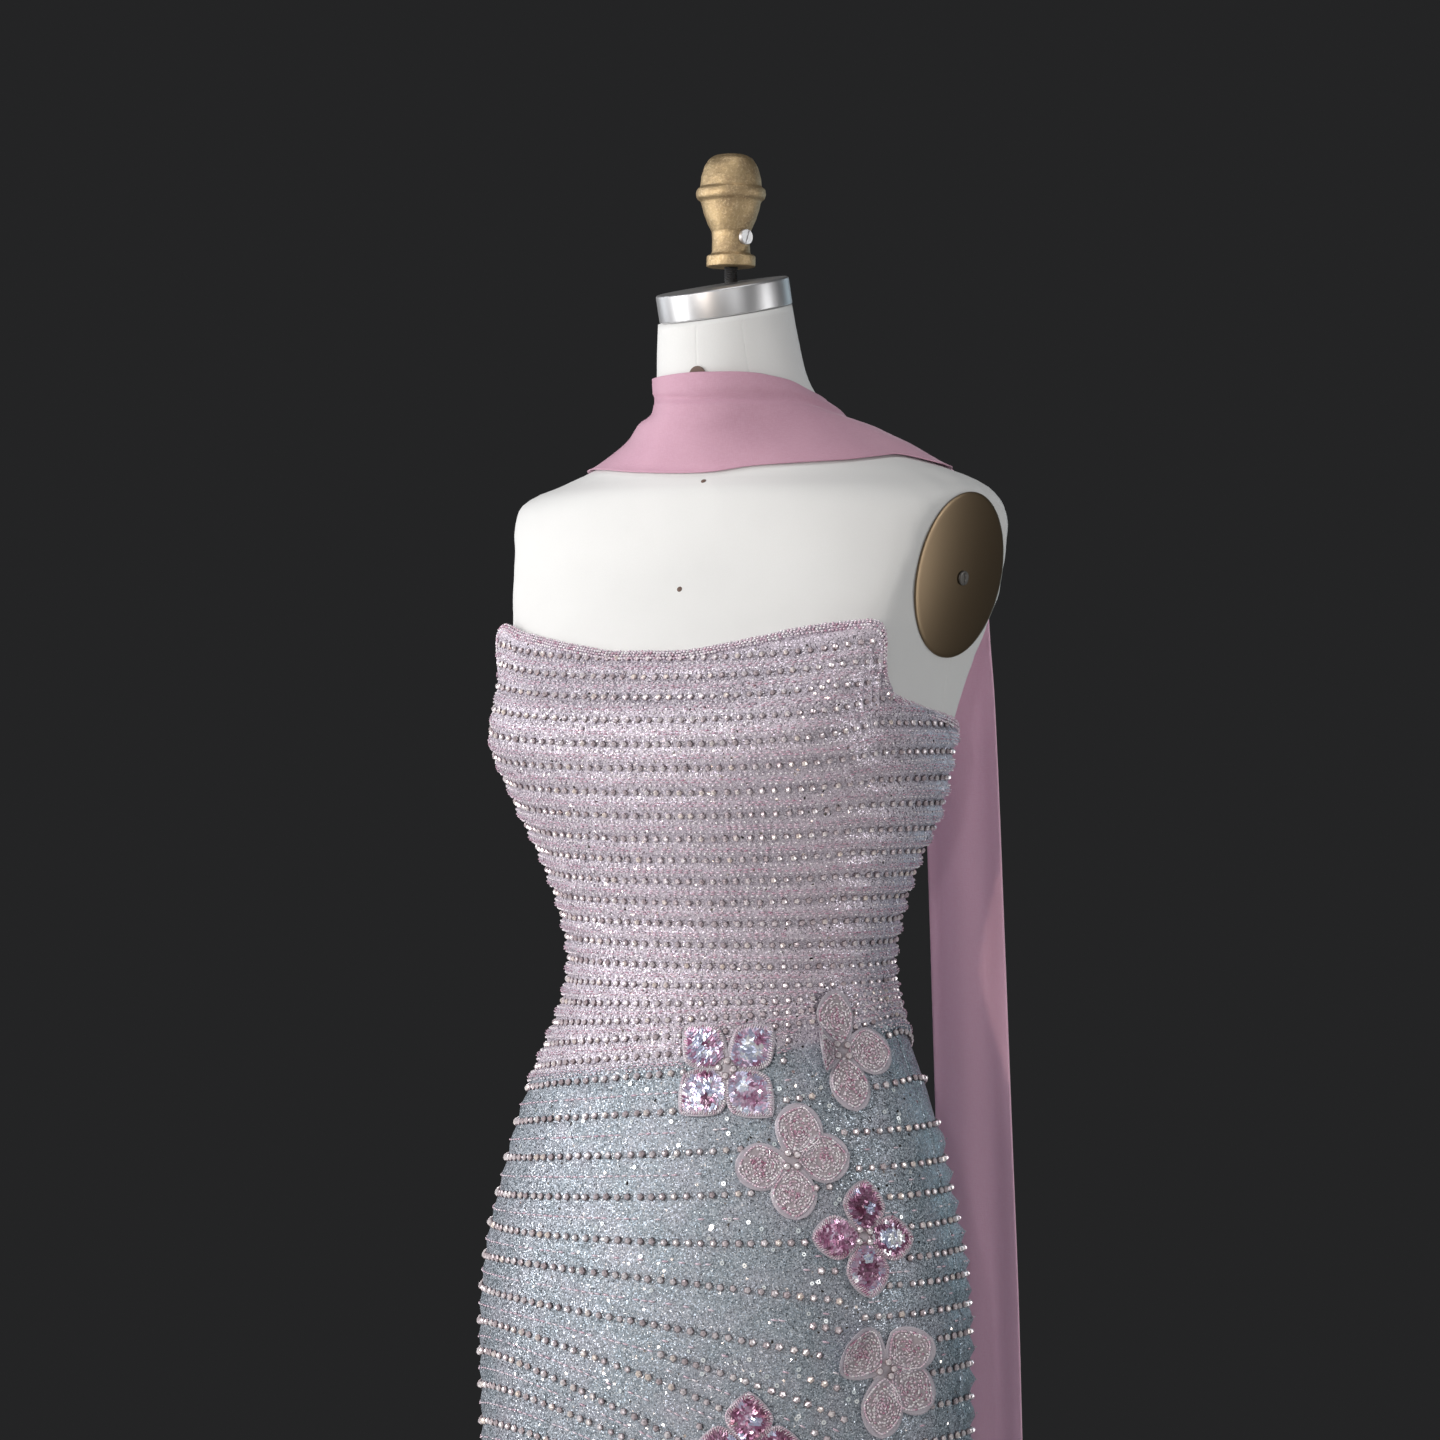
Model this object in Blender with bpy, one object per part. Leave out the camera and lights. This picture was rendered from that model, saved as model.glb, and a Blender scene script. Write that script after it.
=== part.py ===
"""Evening gown on its dress form, as solids. Metres, +Z up. The form faces -Y, its left side is +X,
and its pole stands on the origin."""

import math

import bpy
import numpy as np
from mathutils import Vector
from mathutils.bvhtree import BVHTree

MM = 0.001
GAP = 0.3 * MM  # between pieces that lie on or beside each other
WALL = 2.0 * MM  # lined, beaded tulle
SEAT = 0.5 * MM  # the gown off the form
SEAM = 0.18 * MM  # half of what is left open at a panel seam

# Sections of the form, and of the skirt below it: height, half width, depth in front of the pole,
# depth behind it, how far back the widest points sit, roundness (2 is an ellipse). Millimetres.
SECTIONS = np.array([
    (28, 226, 201, 201, 0, 2.0),
    (150, 214, 186, 184, 0, 2.0),
    (300, 202, 166, 158, 0, 2.0),
    (450, 192, 148, 132, 0, 2.0),
    (600, 184, 137, 112, -2, 2.05),
    (700, 181, 134, 105, -4, 2.1),
    (766, 180, 136, 103, -6, 2.1),
    (837, 180, 140, 100, -7, 2.1),
    (890, 176, 138, 98, -6, 2.1),
    (940, 165, 131, 94, -4, 2.1),
    (990, 152.5, 119, 89, -2, 2.1),
    (1040, 133, 102, 85, 0, 2.1),
    (1075, 120, 94, 82, 1, 2.1),
    (1100, 117, 89, 81, 1, 2.1),
    (1130, 122, 92, 80, 1, 2.1),
    (1170, 136, 104, 77, 2, 2.1),
    (1215, 156, 118, 79, 5, 2.1),
    (1263, 163, 122, 86, 10, 2.15),
    (1300, 169, 107, 95, 15, 2.4),
    (1335, 178, 93, 101, 19, 2.75),
    (1363, 186, 82, 101, 22, 3.0),
    (1385, 190, 74, 97, 25, 3.0),
    (1405, 191, 70, 92, 29, 3.1),
    (1420, 186, 67, 92, 32, 3.1),
    (1432, 176, 63, 94, 38, 2.8),
    (1441, 162, 54, 90, 46, 2.25),
    (1450, 139, 50, 76, 46, 2.05),
    (1460, 116, 50, 72, 45, 2.0),
    (1470, 92, 50, 67, 40, 2.0),
    (1482, 71, 51, 60, 28, 2.0),
    (1495, 60, 52, 55, 14, 2.0),
    (1512, 54, 53, 49, 3, 2.0),
    (1535, 50.5, 54, 44, -3, 2.0),
    (1558, 47.5, 54.3, 40.3, -7, 2.0),
])

BUST_Z, BUST_UP, BUST_DOWN = 1263.0, 52.0, 42.0
BUST_ANGLE, BUST_WIDE, BUST_OUT = 40.0, 30.0, 24.0

# Where the gown ends at the top: angle round from the front towards +X, height.
NECKLINE = np.array([
    (-180, 1265), (-140, 1265), (-119, 1267), (-95, 1272), (-84, 1276), (-75, 1281), (-68, 1285.5),
    (-61.5, 1296), (-54, 1314), (-48.5, 1335), (-46, 1336.5), (-38, 1331.5), (-28, 1327), (-16, 1321),
    (-6, 1316.5), (2, 1316.5), (10, 1321), (18, 1326.5), (27, 1332.5), (37, 1335.5), (46, 1336.5),
    (48.5, 1335), (54, 1314), (61.5, 1296), (68, 1285.5), (75, 1281), (84, 1276),
    (95, 1272), (119, 1267), (140, 1265), (180, 1265),
])

HALF = (0, 8, 16, 24, 32, 40, 46, 48.5, 54, 61.5, 68, 75, 82, 90, 100, 110, 120, 130, 140, 150, 160, 170)
ANGLES = np.array([-a for a in HALF[:0:-1]] + list(HALF) + [180.0])
SIDE_LEFT = int(np.where(ANGLES == 90)[0][0])  # the form's left is +X
SIDE_RIGHT = int(np.where(ANGLES == -90)[0][0])
BACK = len(ANGLES) - 1

# Rows the form and the gown share, from the neckline down: level, how much of the neckline it keeps.
ROWS = (
    (1300, 1.0), (1276, 0.86), (1252, 0.72), (1228, 0.58), (1204, 0.44), (1180, 0.32), (1155, 0.2),
    (1128, 0.08), (1100, 0), (1070, 0), (1040, 0), (1010, 0), (980, 0), (950, 0), (920, 0),
    (890, 0), (860, 0), (828, 0), (796, 0), (764, 0), (732, 0), (700, 0),
)
SKIRT_ROWS = (650, 590, 520, 440, 360, 280, 200, 120, 70, 28)
UPPER_ROWS = (
    1354, 1372, 1389, 1405, 1419, 1431, 1441, 1450, 1460, 1470, 1482, 1495, 1512, 1535, 1558,
)
NECK_TILT = np.array([0.066, 0.197])  # the cut of the neck rises to the back and to +X
NECK_MIDDLE = np.array([0.0, -7.0])

PLATE_AT = np.array([169.57, 20.03, 1371.39])
PLATE_NORMAL = np.array([0.971, -0.206, -0.122])
PLATE_LONG = np.array([0.174, 0.2578, 0.9505])
PLATE_HALF = (59.0, 47.3)


def smooth_table(x, xs, ys):
    """Monotone cubic through the table."""
    x = np.clip(np.asarray(x, float), xs[0], xs[-1])
    step = np.diff(xs)
    slope = np.diff(ys) / step
    inner = np.where(
        slope[:-1] * slope[1:] > 0,
        2 * slope[:-1] * slope[1:] / np.where(slope[:-1] + slope[1:] == 0, 1, slope[:-1] + slope[1:]),
        0,
    )
    tangent = np.concatenate([[slope[0]], inner, [slope[-1]]])
    k = np.clip(np.searchsorted(xs, x, side="right") - 1, 0, len(step) - 1)
    t = (x - xs[k]) / step[k]
    return (
        ys[k] * (1 + 2 * t) * (1 - t) ** 2
        + tangent[k] * step[k] * t * (1 - t) ** 2
        + ys[k + 1] * t * t * (3 - 2 * t)
        + tangent[k + 1] * step[k] * t * t * (t - 1)
    )


def soft_cap(d, round_off):
    """d where it is well below 0, easing to 0 above."""
    return 0.5 * (d - np.sqrt(d * d + round_off * round_off))


def surface(angle, z):
    """Points in millimetres on the form or skirt at angles (degrees) and heights (millimetres)."""
    angle, z = np.broadcast_arrays(np.asarray(angle, float), np.asarray(z, float))
    half, front, behind, back_set, power = (
        smooth_table(z, SECTIONS[:, 0], SECTIONS[:, i]) for i in range(1, 6)
    )
    s, c = np.sin(np.radians(angle)), np.cos(np.radians(angle))
    x = half * np.sign(s) * np.abs(s) ** (2 / power)
    deep = np.where(c > 0, front, behind)
    y = back_set * (x / half) ** 2 - deep * np.sign(c) * np.abs(c) ** (2 / power)
    up = np.where(z > BUST_Z, BUST_UP, BUST_DOWN)
    for side in (-1, 1):
        turn = (angle - side * BUST_ANGLE) / BUST_WIDE
        out = BUST_OUT * np.exp(-turn * turn - ((z - BUST_Z) / up) ** 2)
        x = x + out * math.sin(math.radians(side * BUST_ANGLE))
        y = y - out * math.cos(math.radians(BUST_ANGLE))
    points = np.stack([x, y, z], -1)
    for side in (-1, 1):
        mirror = np.array([side, 1, 1])
        normal = PLATE_NORMAL * mirror
        d = (points - PLATE_AT * mirror) @ normal
        near = np.exp(-(((z - 1372) / 106) ** 8))
        points = points - near[..., None] * (d - soft_cap(d, 3.0))[..., None] * normal
    return points


def normals(angle, z):
    """Unit outward normals of surface()."""
    a = surface(np.asarray(angle) + 0.4, z) - surface(np.asarray(angle) - 0.4, z)
    b = surface(angle, np.asarray(z) + 1.0) - surface(angle, np.asarray(z) - 1.0)
    n = np.cross(a, b)
    return n / np.linalg.norm(n, axis=-1, keepdims=True)


def neckline(angle):
    return smooth_table(angle, NECKLINE[:, 0], NECKLINE[:, 1])


def gown_levels():
    """(angle, z) grids of the gown, top row first."""
    top = neckline(ANGLES)
    rows = [level + keep * (top - 1300) for level, keep in ROWS]
    rows += [np.full(len(ANGLES), float(z)) for z in SKIRT_ROWS]
    z = np.array(rows)
    return np.broadcast_to(ANGLES, z.shape), z


def stand_off(angle, z):
    """How far the gown's top stands off the form at its two front corners, in millimetres."""
    below = neckline(angle) - z
    corner = np.exp(-(((np.abs(angle) - 52) / 12) ** 2))
    return 7.5 * corner * np.exp(-below / 28.0)


# The skirt below the form keeps the outline of its own sections, so only the wall is added there.
def gown_point(angle, z, out):
    """Points of the gown `out` millimetres off the form, in millimetres."""
    lift = out + stand_off(angle, z)
    return surface(angle, z) + np.asarray(lift)[..., None] * normals(angle, z)


# ---- solids
def clear():
    for thing in list(bpy.data.objects):
        bpy.data.objects.remove(thing)


def node(name, points, faces, colour, metallic=0.0, rough=0.7, flat=False):
    """A mesh object from points in millimetres."""
    mesh = bpy.data.meshes.new(name)
    mesh.from_pydata([tuple(float(v) * MM for v in p) for p in points], [], [tuple(map(int, f)) for f in faces])
    mesh.update()
    for face in mesh.polygons:
        face.use_smooth = not flat
    thing = bpy.data.objects.new(name, mesh)
    bpy.context.scene.collection.objects.link(thing)
    material = bpy.data.materials.new(name)
    material.use_nodes = True
    shader = next(n for n in material.node_tree.nodes if n.type == "BSDF_PRINCIPLED")
    shader.inputs["Base Color"].default_value = (*colour, 1)
    shader.inputs["Metallic"].default_value = metallic
    shader.inputs["Roughness"].default_value = rough
    mesh.materials.append(material)
    return thing


def quads(index, around):
    """Triangles of a grid of indices, rows down and columns anticlockwise from above, facing out."""
    rows, cols = index.shape
    faces = []
    for r in range(rows - 1):
        for c in range(cols if around else cols - 1):
            d = (c + 1) % cols
            faces.append((index[r, c], index[r + 1, c], index[r + 1, d]))
            faces.append((index[r, c], index[r + 1, d], index[r, d]))
    return faces


def shell(outer, inner, around):
    """A closed wall between two grids of points."""
    rows, cols = outer.shape[:2]
    out = np.arange(rows * cols).reshape(rows, cols)
    into = out + rows * cols
    faces = quads(out, around) + [f[::-1] for f in quads(into, around)]
    rims = [(out[0], into[0]), (into[-1], out[-1])]
    for a, b in rims:
        for c in range(cols if around else cols - 1):
            d = (c + 1) % cols
            faces += [(a[c], a[d], b[d]), (a[c], b[d], b[c])]
    if not around:
        for a, b in ((into[:, 0], out[:, 0]), (out[:, -1], into[:, -1])):
            for r in range(rows - 1):
                faces += [(a[r], a[r + 1], b[r + 1]), (a[r], b[r + 1], b[r])]
    return np.concatenate([outer.reshape(-1, 3), inner.reshape(-1, 3)]), faces


def turned(profile, sides, middle=(0.0, 0.0), sheared=None):
    """A solid turned about a vertical axis from (radius, height) pairs, bottom first, closed on the axis.
    sheared adds a slope to the heights of the given number of bottom rings."""
    points, faces = [], []
    turn = np.arange(sides) * 2 * math.pi / sides
    for i, (radius, height) in enumerate(profile):
        ring = np.stack([middle[0] + radius * np.cos(turn), middle[1] + radius * np.sin(turn), np.full(sides, float(height))], 1)
        if sheared is not None and i < sheared[0]:
            ring[:, 2] += (ring[:, :2] - np.array(middle)) @ np.asarray(sheared[1])
        points += list(ring)
    low, high = len(points), len(points) + 1
    points += [np.array([*middle, profile[0][1]]), np.array([*middle, profile[-1][1]])]
    for i in range(len(profile) - 1):
        for c in range(sides):
            d = (c + 1) % sides
            a, b = i * sides, (i + 1) * sides
            faces += [(a + c, a + d, b + d), (a + c, b + d, b + c)]
    last = (len(profile) - 1) * sides
    for c in range(sides):
        d = (c + 1) % sides
        faces += [(low, d, c), (high, last + c, last + d)]
    return np.array(points), faces


def placed(points, at, x_axis, z_axis):
    """Points of a solid made about the vertical axis, stood on another axis."""
    z = np.array(z_axis, float) / np.linalg.norm(z_axis)
    x = np.array(x_axis, float) - z * (z @ np.array(x_axis, float))
    x /= np.linalg.norm(x)
    return np.array(at) + points @ np.array([x, np.cross(z, x), z])


CLOTH = (0.62, 0.55, 0.62)
FORM = (0.78, 0.75, 0.70)
STEEL = (0.62, 0.62, 0.63)
BRASS = (0.55, 0.42, 0.22)
BRONZE = (0.20, 0.145, 0.09)


def neck_plane(points):
    return (np.asarray(points)[..., :2] - NECK_MIDDLE) @ NECK_TILT


def form_levels():
    """Heights of the form's rows, bottom first: the rows shared with the gown, then those above its neckline."""
    top = neckline(ANGLES)
    rows = [level + keep * (top - 1300) for level, keep in ROWS[::-1]]
    first = 0.5 * (top + UPPER_ROWS[0]) + 2
    rows.append(np.maximum(first, top + 6))
    for i, level in enumerate(UPPER_ROWS):
        row = np.full(len(ANGLES), float(level))
        if i < 2:
            row = np.maximum(row, top + (13, 27)[i])
        rows.append(row)
    return np.array(rows)


def build_form():
    z = form_levels()
    points = surface(np.broadcast_to(ANGLES, z.shape), z)
    tilted = np.clip((z - 1480) / (1558 - 1480), 0, 1) ** 1.5
    points[..., 2] += tilted * neck_plane(points)
    rows, cols = z.shape
    index = np.arange(rows * cols).reshape(rows, cols)[::-1]
    faces = quads(index, True)
    all_points = list(points.reshape(-1, 3))
    for row, flip in ((0, False), (rows - 1, True)):
        ring = row * cols + np.arange(cols)
        hub = len(all_points)
        all_points.append(points[row].mean(0))
        for c in range(cols):
            a, b = ring[c], ring[(c + 1) % cols]
            faces.append((hub, a, b) if flip else (hub, b, a))
    return node("form_torso", all_points, faces, FORM)


def build_neck():
    slope = NECK_TILT
    up = np.array([-slope[0], -slope[1], 1.0])
    up /= np.linalg.norm(up)
    base = np.array([*NECK_MIDDLE, 1558.0])
    profile = [(47.2, 0.4), (47.6, 1.2), (47.0, 19.4), (46.0, 20.4)]
    points, faces = turned(profile, 36)
    node("neck_cap", placed(points, base, (1, 0, 0), up), faces, STEEL, 1.0, 0.35)
    top = 1558 + 20.8 * up[2] + (np.array([0.0, 0.0]) - NECK_MIDDLE - 20.8 * up[:2]) @ slope
    rod = [(5.0, top + 0.3), (5.0, 1591.6)]
    points, faces = turned(rod, 16, sheared=(1, slope))
    node("finial_rod", points, faces, (0.05, 0.05, 0.055), 1.0, 0.5)
    finial = [
        (16.6, 1592.0), (17.4, 1592.8), (17.4, 1599.6), (16.6, 1600.4), (13.9, 1601.4), (13.5, 1603.0),
        (13.5, 1616.5), (14.6, 1618.5), (17.2, 1624.0), (19.6, 1631.0), (21.6, 1639.3), (24.4, 1640.2),
        (25.0, 1643.8), (24.4, 1647.2), (22.2, 1648.2), (21.2, 1655.5), (18.9, 1663.4), (15.6, 1668.8),
        (11.4, 1671.6), (6.0, 1672.3),
    ]
    points, faces = turned(finial, 24)
    node("finial", points, faces, BRASS, 1.0, 0.5)
    way = np.array([0.945, -0.326, 0.0])
    points, faces = turned([(5.0, 0.0), (5.5, 0.5), (5.5, 3.0), (4.9, 3.6)], 16)
    node("finial_screw", placed(points, np.array([0, 0, 1612.2]) + way * 13.9, (0, 0, 1), way), faces, STEEL, 1.0, 0.3)
    at = surface(3.0, 1514.0)
    n = normals(3.0, 1514.0)
    tilt = np.array([0, 0, ((1514 - 1480) / 78) ** 1.5 * neck_plane(at)])
    points, faces = turned([(6.2, 0.45), (6.4, 0.7), (6.4, 1.2), (6.0, 1.5)], 16)
    node("neck_disc", placed(points, at + tilt, (0, 0, 1), n), faces, (0.13, 0.09, 0.075), 0.0, 0.5)


def build_plates():
    rings = ((1.0, 0.45), (1.0, 1.1), (0.95, 2.1), (0.7, 3.2), (0.4, 3.85))
    sides = 32
    for side, name in ((1, "left"), (-1, "right")):
        mirror = np.array([side, 1, 1])
        normal = PLATE_NORMAL * mirror
        normal = normal / np.linalg.norm(normal)
        long = PLATE_LONG * mirror
        long = long - normal * (normal @ long)
        long /= np.linalg.norm(long)
        points, faces = turned(rings, sides)
        points = points * np.array([PLATE_HALF[0], PLATE_HALF[1], 1.0])
        points[-2, 2], points[-1, 2] = rings[0][1], 4.05
        at = PLATE_AT * mirror
        node("armplate_" + name, placed(points, at, long, normal), faces, BRONZE, 1.0, 0.25)
        points, faces = turned([(4.8, 4.45), (5.2, 4.75), (4.9, 5.7), (3.6, 6.4)], 12)
        seat = at - 2.0 * long
        node("armplate_screw_" + name, placed(points, seat, long, normal), faces, STEEL, 1.0, 0.3)


def build_stand():
    points, faces = turned([(14.0, 12.3), (14.0, 686.0), (48.0, 688.0), (48.0, 699.6)], 24)
    node("stand_pole", points, faces, (0.08, 0.08, 0.085), 1.0, 0.4)
    points, faces = turned([(163.0, 0.0), (165.0, 2.0), (165.0, 7.0), (150.0, 11.0), (30.0, 12.0)], 40)
    node("stand_base", points, faces, (0.08, 0.08, 0.085), 1.0, 0.4)


def build_gown():
    angle, z = gown_levels()
    outer = gown_point(angle, z, SEAT / MM + WALL / MM)
    inner = gown_point(angle, z, SEAT / MM)
    for name, first, last in (
        ("gown_front", SIDE_RIGHT, SIDE_LEFT),
        ("gown_back_left", SIDE_LEFT, BACK),
        ("gown_back_right", BACK - len(ANGLES), SIDE_RIGHT),
    ):
        columns = np.arange(first, last + 1)
        pair = []
        for grid in (outer, inner):
            part = grid[:, columns].copy()
            for end, step in ((0, 1), (-1, -1)):
                way = grid[:, columns[end] + step] - grid[:, columns[end]]
                part[:, end] += SEAM / MM * way / np.linalg.norm(way, axis=1, keepdims=True)
            pair.append(part)
        points, faces = shell(*pair, around=False)
        node(name, points, faces, CLOTH)



# Each flower: angle and height of its middle, how pointed its petals are, and for each petal its turn, its
# reach, half its width, the share of its reach where it bends up, and by how much. Degrees and millimetres.
FLOWERS = {
    "flower_1": (21.0, 1031, 1.0, ((38, 46, 16.5, 0.5, 4), (137, 41.5, 17.0, 0.5, 4), (228, 42, 17.8, 0.5, 3), (314, 44, 17.2, 0.5, 3))),
    "flower_2": (59.5, 1042.5, 0.1, ((-4, 40, 16.0, 0.5, 8), (88, 42, 14.0, 0.45, 14), (178, 32, 15.5, 0.36, 75), (271, 41, 13.5, 0.5, 4))),
    "flower_3": (38.9, 971, 0.1, ((3, 41, 16.5, 0.5, 5), (73, 38.5, 17.0, 0.5, 4), (192, 37, 16.0, 0.5, 6), (272, 39.5, 15.0, 0.5, 3))),
    "flower_4": (57.3, 920, 0.5, ((-6, 38.5, 15.0, 0.5, 6), (81, 38, 15.5, 0.5, 4), (180, 35, 14.8, 0.5, 4), (271, 41, 15.0, 0.5, 4))),
    "flower_5": (61.4, 831.5, 0.1, ((-36, 46, 17.0, 0.5, 8), (38, 40, 18.0, 0.42, 50), (147, 40, 19.0, 0.55, 48), (264, 47, 15.5, 0.5, 4))),
    "flower_6": (26.6, 779, 0.9, ((3, 38, 16.0, 0.5, 4), (89, 40, 16.5, 0.5, 5), (181, 37, 16.0, 0.5, 4), (269, 40, 16.0, 0.5, 4))),
}
FLOWER_SIDES = 36
FLOWER_RINGS = ((0.0, 3.0), (0.4, 2.5), (0.8, 3.2), (1.0, 2.6))  # share of the reach, thickness
FLOWER_MIDDLE = 12.0  # radius of the round of organza that joins the petals
FLOWER_SEAT = 0.6


def petal_width(s, point):
    """Share of a petal's half width at a share of its reach."""
    x = np.where(s > 0.55, (s - 0.55) / 0.45, (0.55 - s) / 0.55)
    return np.where(s > 0.55, (1 - x ** (2 - 0.6 * point)) ** (0.5 + 0.35 * point), (1 - x**1.7) ** 0.8)


def flower_edge(flower, way):
    """How far each petal of a flower reaches at a turn in radians."""
    angle, height, point, petals = FLOWERS[flower]
    s = np.linspace(0.01, 1, 60)
    edges = []
    for turn, reach, half, at, bend in petals:
        wide, long = half * petal_width(s, point), reach * s
        off = np.abs((way - math.radians(turn) + math.pi) % (2 * math.pi) - math.pi)
        edges.append(np.interp(off, np.arctan2(wide, long)[::-1], np.hypot(wide, long)[::-1], right=0))
    return np.array(edges)


def petal_place(flower, k, long, wide):
    """Where a place on petal k lies over the gown: its angle, its height and how far it is bent up."""
    angle, height, point, petals = FLOWERS[flower]
    turn, reach, half, at, bend = petals[k]
    past = np.maximum(0, long - at * reach)
    past = past * past / (past + 3.0)
    long = long - past * (1 - math.cos(math.radians(bend)))
    way = math.radians(turn)
    u, v = long * math.cos(way) - wide * math.sin(way), long * math.sin(way) + wide * math.cos(way)
    speed = np.linalg.norm(surface(angle + 0.5, height) - surface(angle - 0.5, height))
    return angle + u / speed, height + v, past * math.sin(math.radians(bend))


def build_flowers(panels):
    points, faces = [], []
    for panel in panels:
        first = len(points)
        points += [v.co.copy() for v in panel.data.vertices]
        faces += [tuple(first + i for i in p.vertices) for p in panel.data.polygons]
    tree = BVHTree.FromPolygons(points, faces)

    def on_cloth(at, z):
        n = normals(at, z)
        start = (surface(at, z) + 40 * n) * MM
        return np.array(tree.ray_cast(Vector(start), Vector(-n), 0.08)[0]) / MM, n

    for name, (angle, height, point, petals) in FLOWERS.items():
        top, bottom = [], []
        for i in range(FLOWER_SIDES):
            way = 2 * math.pi * i / FLOWER_SIDES
            edges = flower_edge(name, way)
            k, edge = int(edges.argmax()), max(FLOWER_MIDDLE, edges.max())
            off = way - math.radians(petals[k][0])
            for part, thick in FLOWER_RINGS[1:]:
                at, z, rise = petal_place(name, k, part * edge * math.cos(off), part * edge * math.sin(off))
                base, n = on_cloth(at, z)
                bottom.append(base + (FLOWER_SEAT + rise) * n)
                top.append(base + (FLOWER_SEAT + rise + thick) * n)
        base, n = on_cloth(angle, height)
        rings = len(FLOWER_RINGS) - 1
        count = FLOWER_SIDES * rings
        verts = top + bottom + [base + (FLOWER_SEAT + FLOWER_RINGS[0][1]) * n, base + FLOWER_SEAT * n]
        tris = []
        for i in range(FLOWER_SIDES):
            j = (i + 1) % FLOWER_SIDES
            tris += [(2 * count, i * rings, j * rings), (2 * count + 1, count + j * rings, count + i * rings)]
            for r in range(rings - 1):
                a, b, c, d = i * rings + r, i * rings + r + 1, j * rings + r + 1, j * rings + r
                tris += [(a, b, c), (a, c, d), (count + a, count + c, count + b), (count + a, count + d, count + c)]
            a, b = i * rings + rings - 1, j * rings + rings - 1
            tris += [(a, count + a, count + b), (a, count + b, b)]
        node(name, verts, tris, (0.72, 0.50, 0.62))


# The scarf round the neck: angle, height of its upper edge, of its lower edge, how full it is there.
COLLAR = np.array([
    (-180, 1489, 1446, 0.8), (-150, 1493, 1446, 0.8), (-120, 1503, 1447, 0.8), (-90, 1510, 1449, 0.75),
    (-60, 1514, 1450, 0.8), (-39, 1515, 1448, 0.95), (-17, 1516, 1444, 1.0), (1, 1516.5, 1442, 1.05),
    (15, 1516, 1446, 1.05), (29, 1515.5, 1448, 1.05), (44, 1514, 1450, 1.1), (58, 1511, 1453, 1.1),
    (70, 1508, 1455, 1.05), (87, 1500, 1450, 1.0), (104, 1495, 1447, 0.95), (130, 1490, 1446, 0.9),
    (180, 1489, 1446, 0.8),
])
# Down the collar: share of the way from the upper edge, how far its inside stands off the form.
FOLD = ((0.0, 2.1), (0.07, 3.4), (0.17, 4.4), (0.275, 2.9), (0.37, 5.0), (0.5, 6.4), (0.66, 5.2), (0.83, 3.0), (1.0, 1.0))
SCARF_WALL = 1.2

# The hanging end, from the shoulder down: height, x of its two edges, how far back it hangs, its folds.
TAIL = np.array([
    (1444, 84, 138, 0, 0.1), (1438, 85.5, 140.5, 0, 0.6), (1428, 87.5, 143.5, 0, 1.0), (1412, 90, 147, 0, 1.4), (1391, 92, 150.5, 0, 1.9),
    (1367, 94, 153, 0, 2.5), (1335, 95, 154.5, 103, 3.2), (1290, 96, 155.5, 109, 4.0), (1230, 97, 156.5, 114, 4.6),
    (1157, 97, 157.5, 119, 5.0), (1070, 96.5, 158, 126, 5.2), (960, 96, 159, 134, 5.4),
    (850, 95.5, 160, 142, 5.6), (740, 95, 160.5, 148, 5.8), (600, 94, 162, 155, 6.0),
    (440, 93, 163, 164, 6.2), (270, 91, 164, 177, 6.4), (110, 90, 165, 194, 6.6),
])
TAIL_COLUMNS = 13


def tilted(points, z):
    points = points.copy()
    points[..., 2] += np.clip((z - 1480) / 78, 0, 1) ** 1.5 * neck_plane(points)
    return points


def collar_edges(angle):
    return smooth_table(angle, COLLAR[:, 0], COLLAR[:, 1]), smooth_table(angle, COLLAR[:, 0], COLLAR[:, 2])


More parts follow.
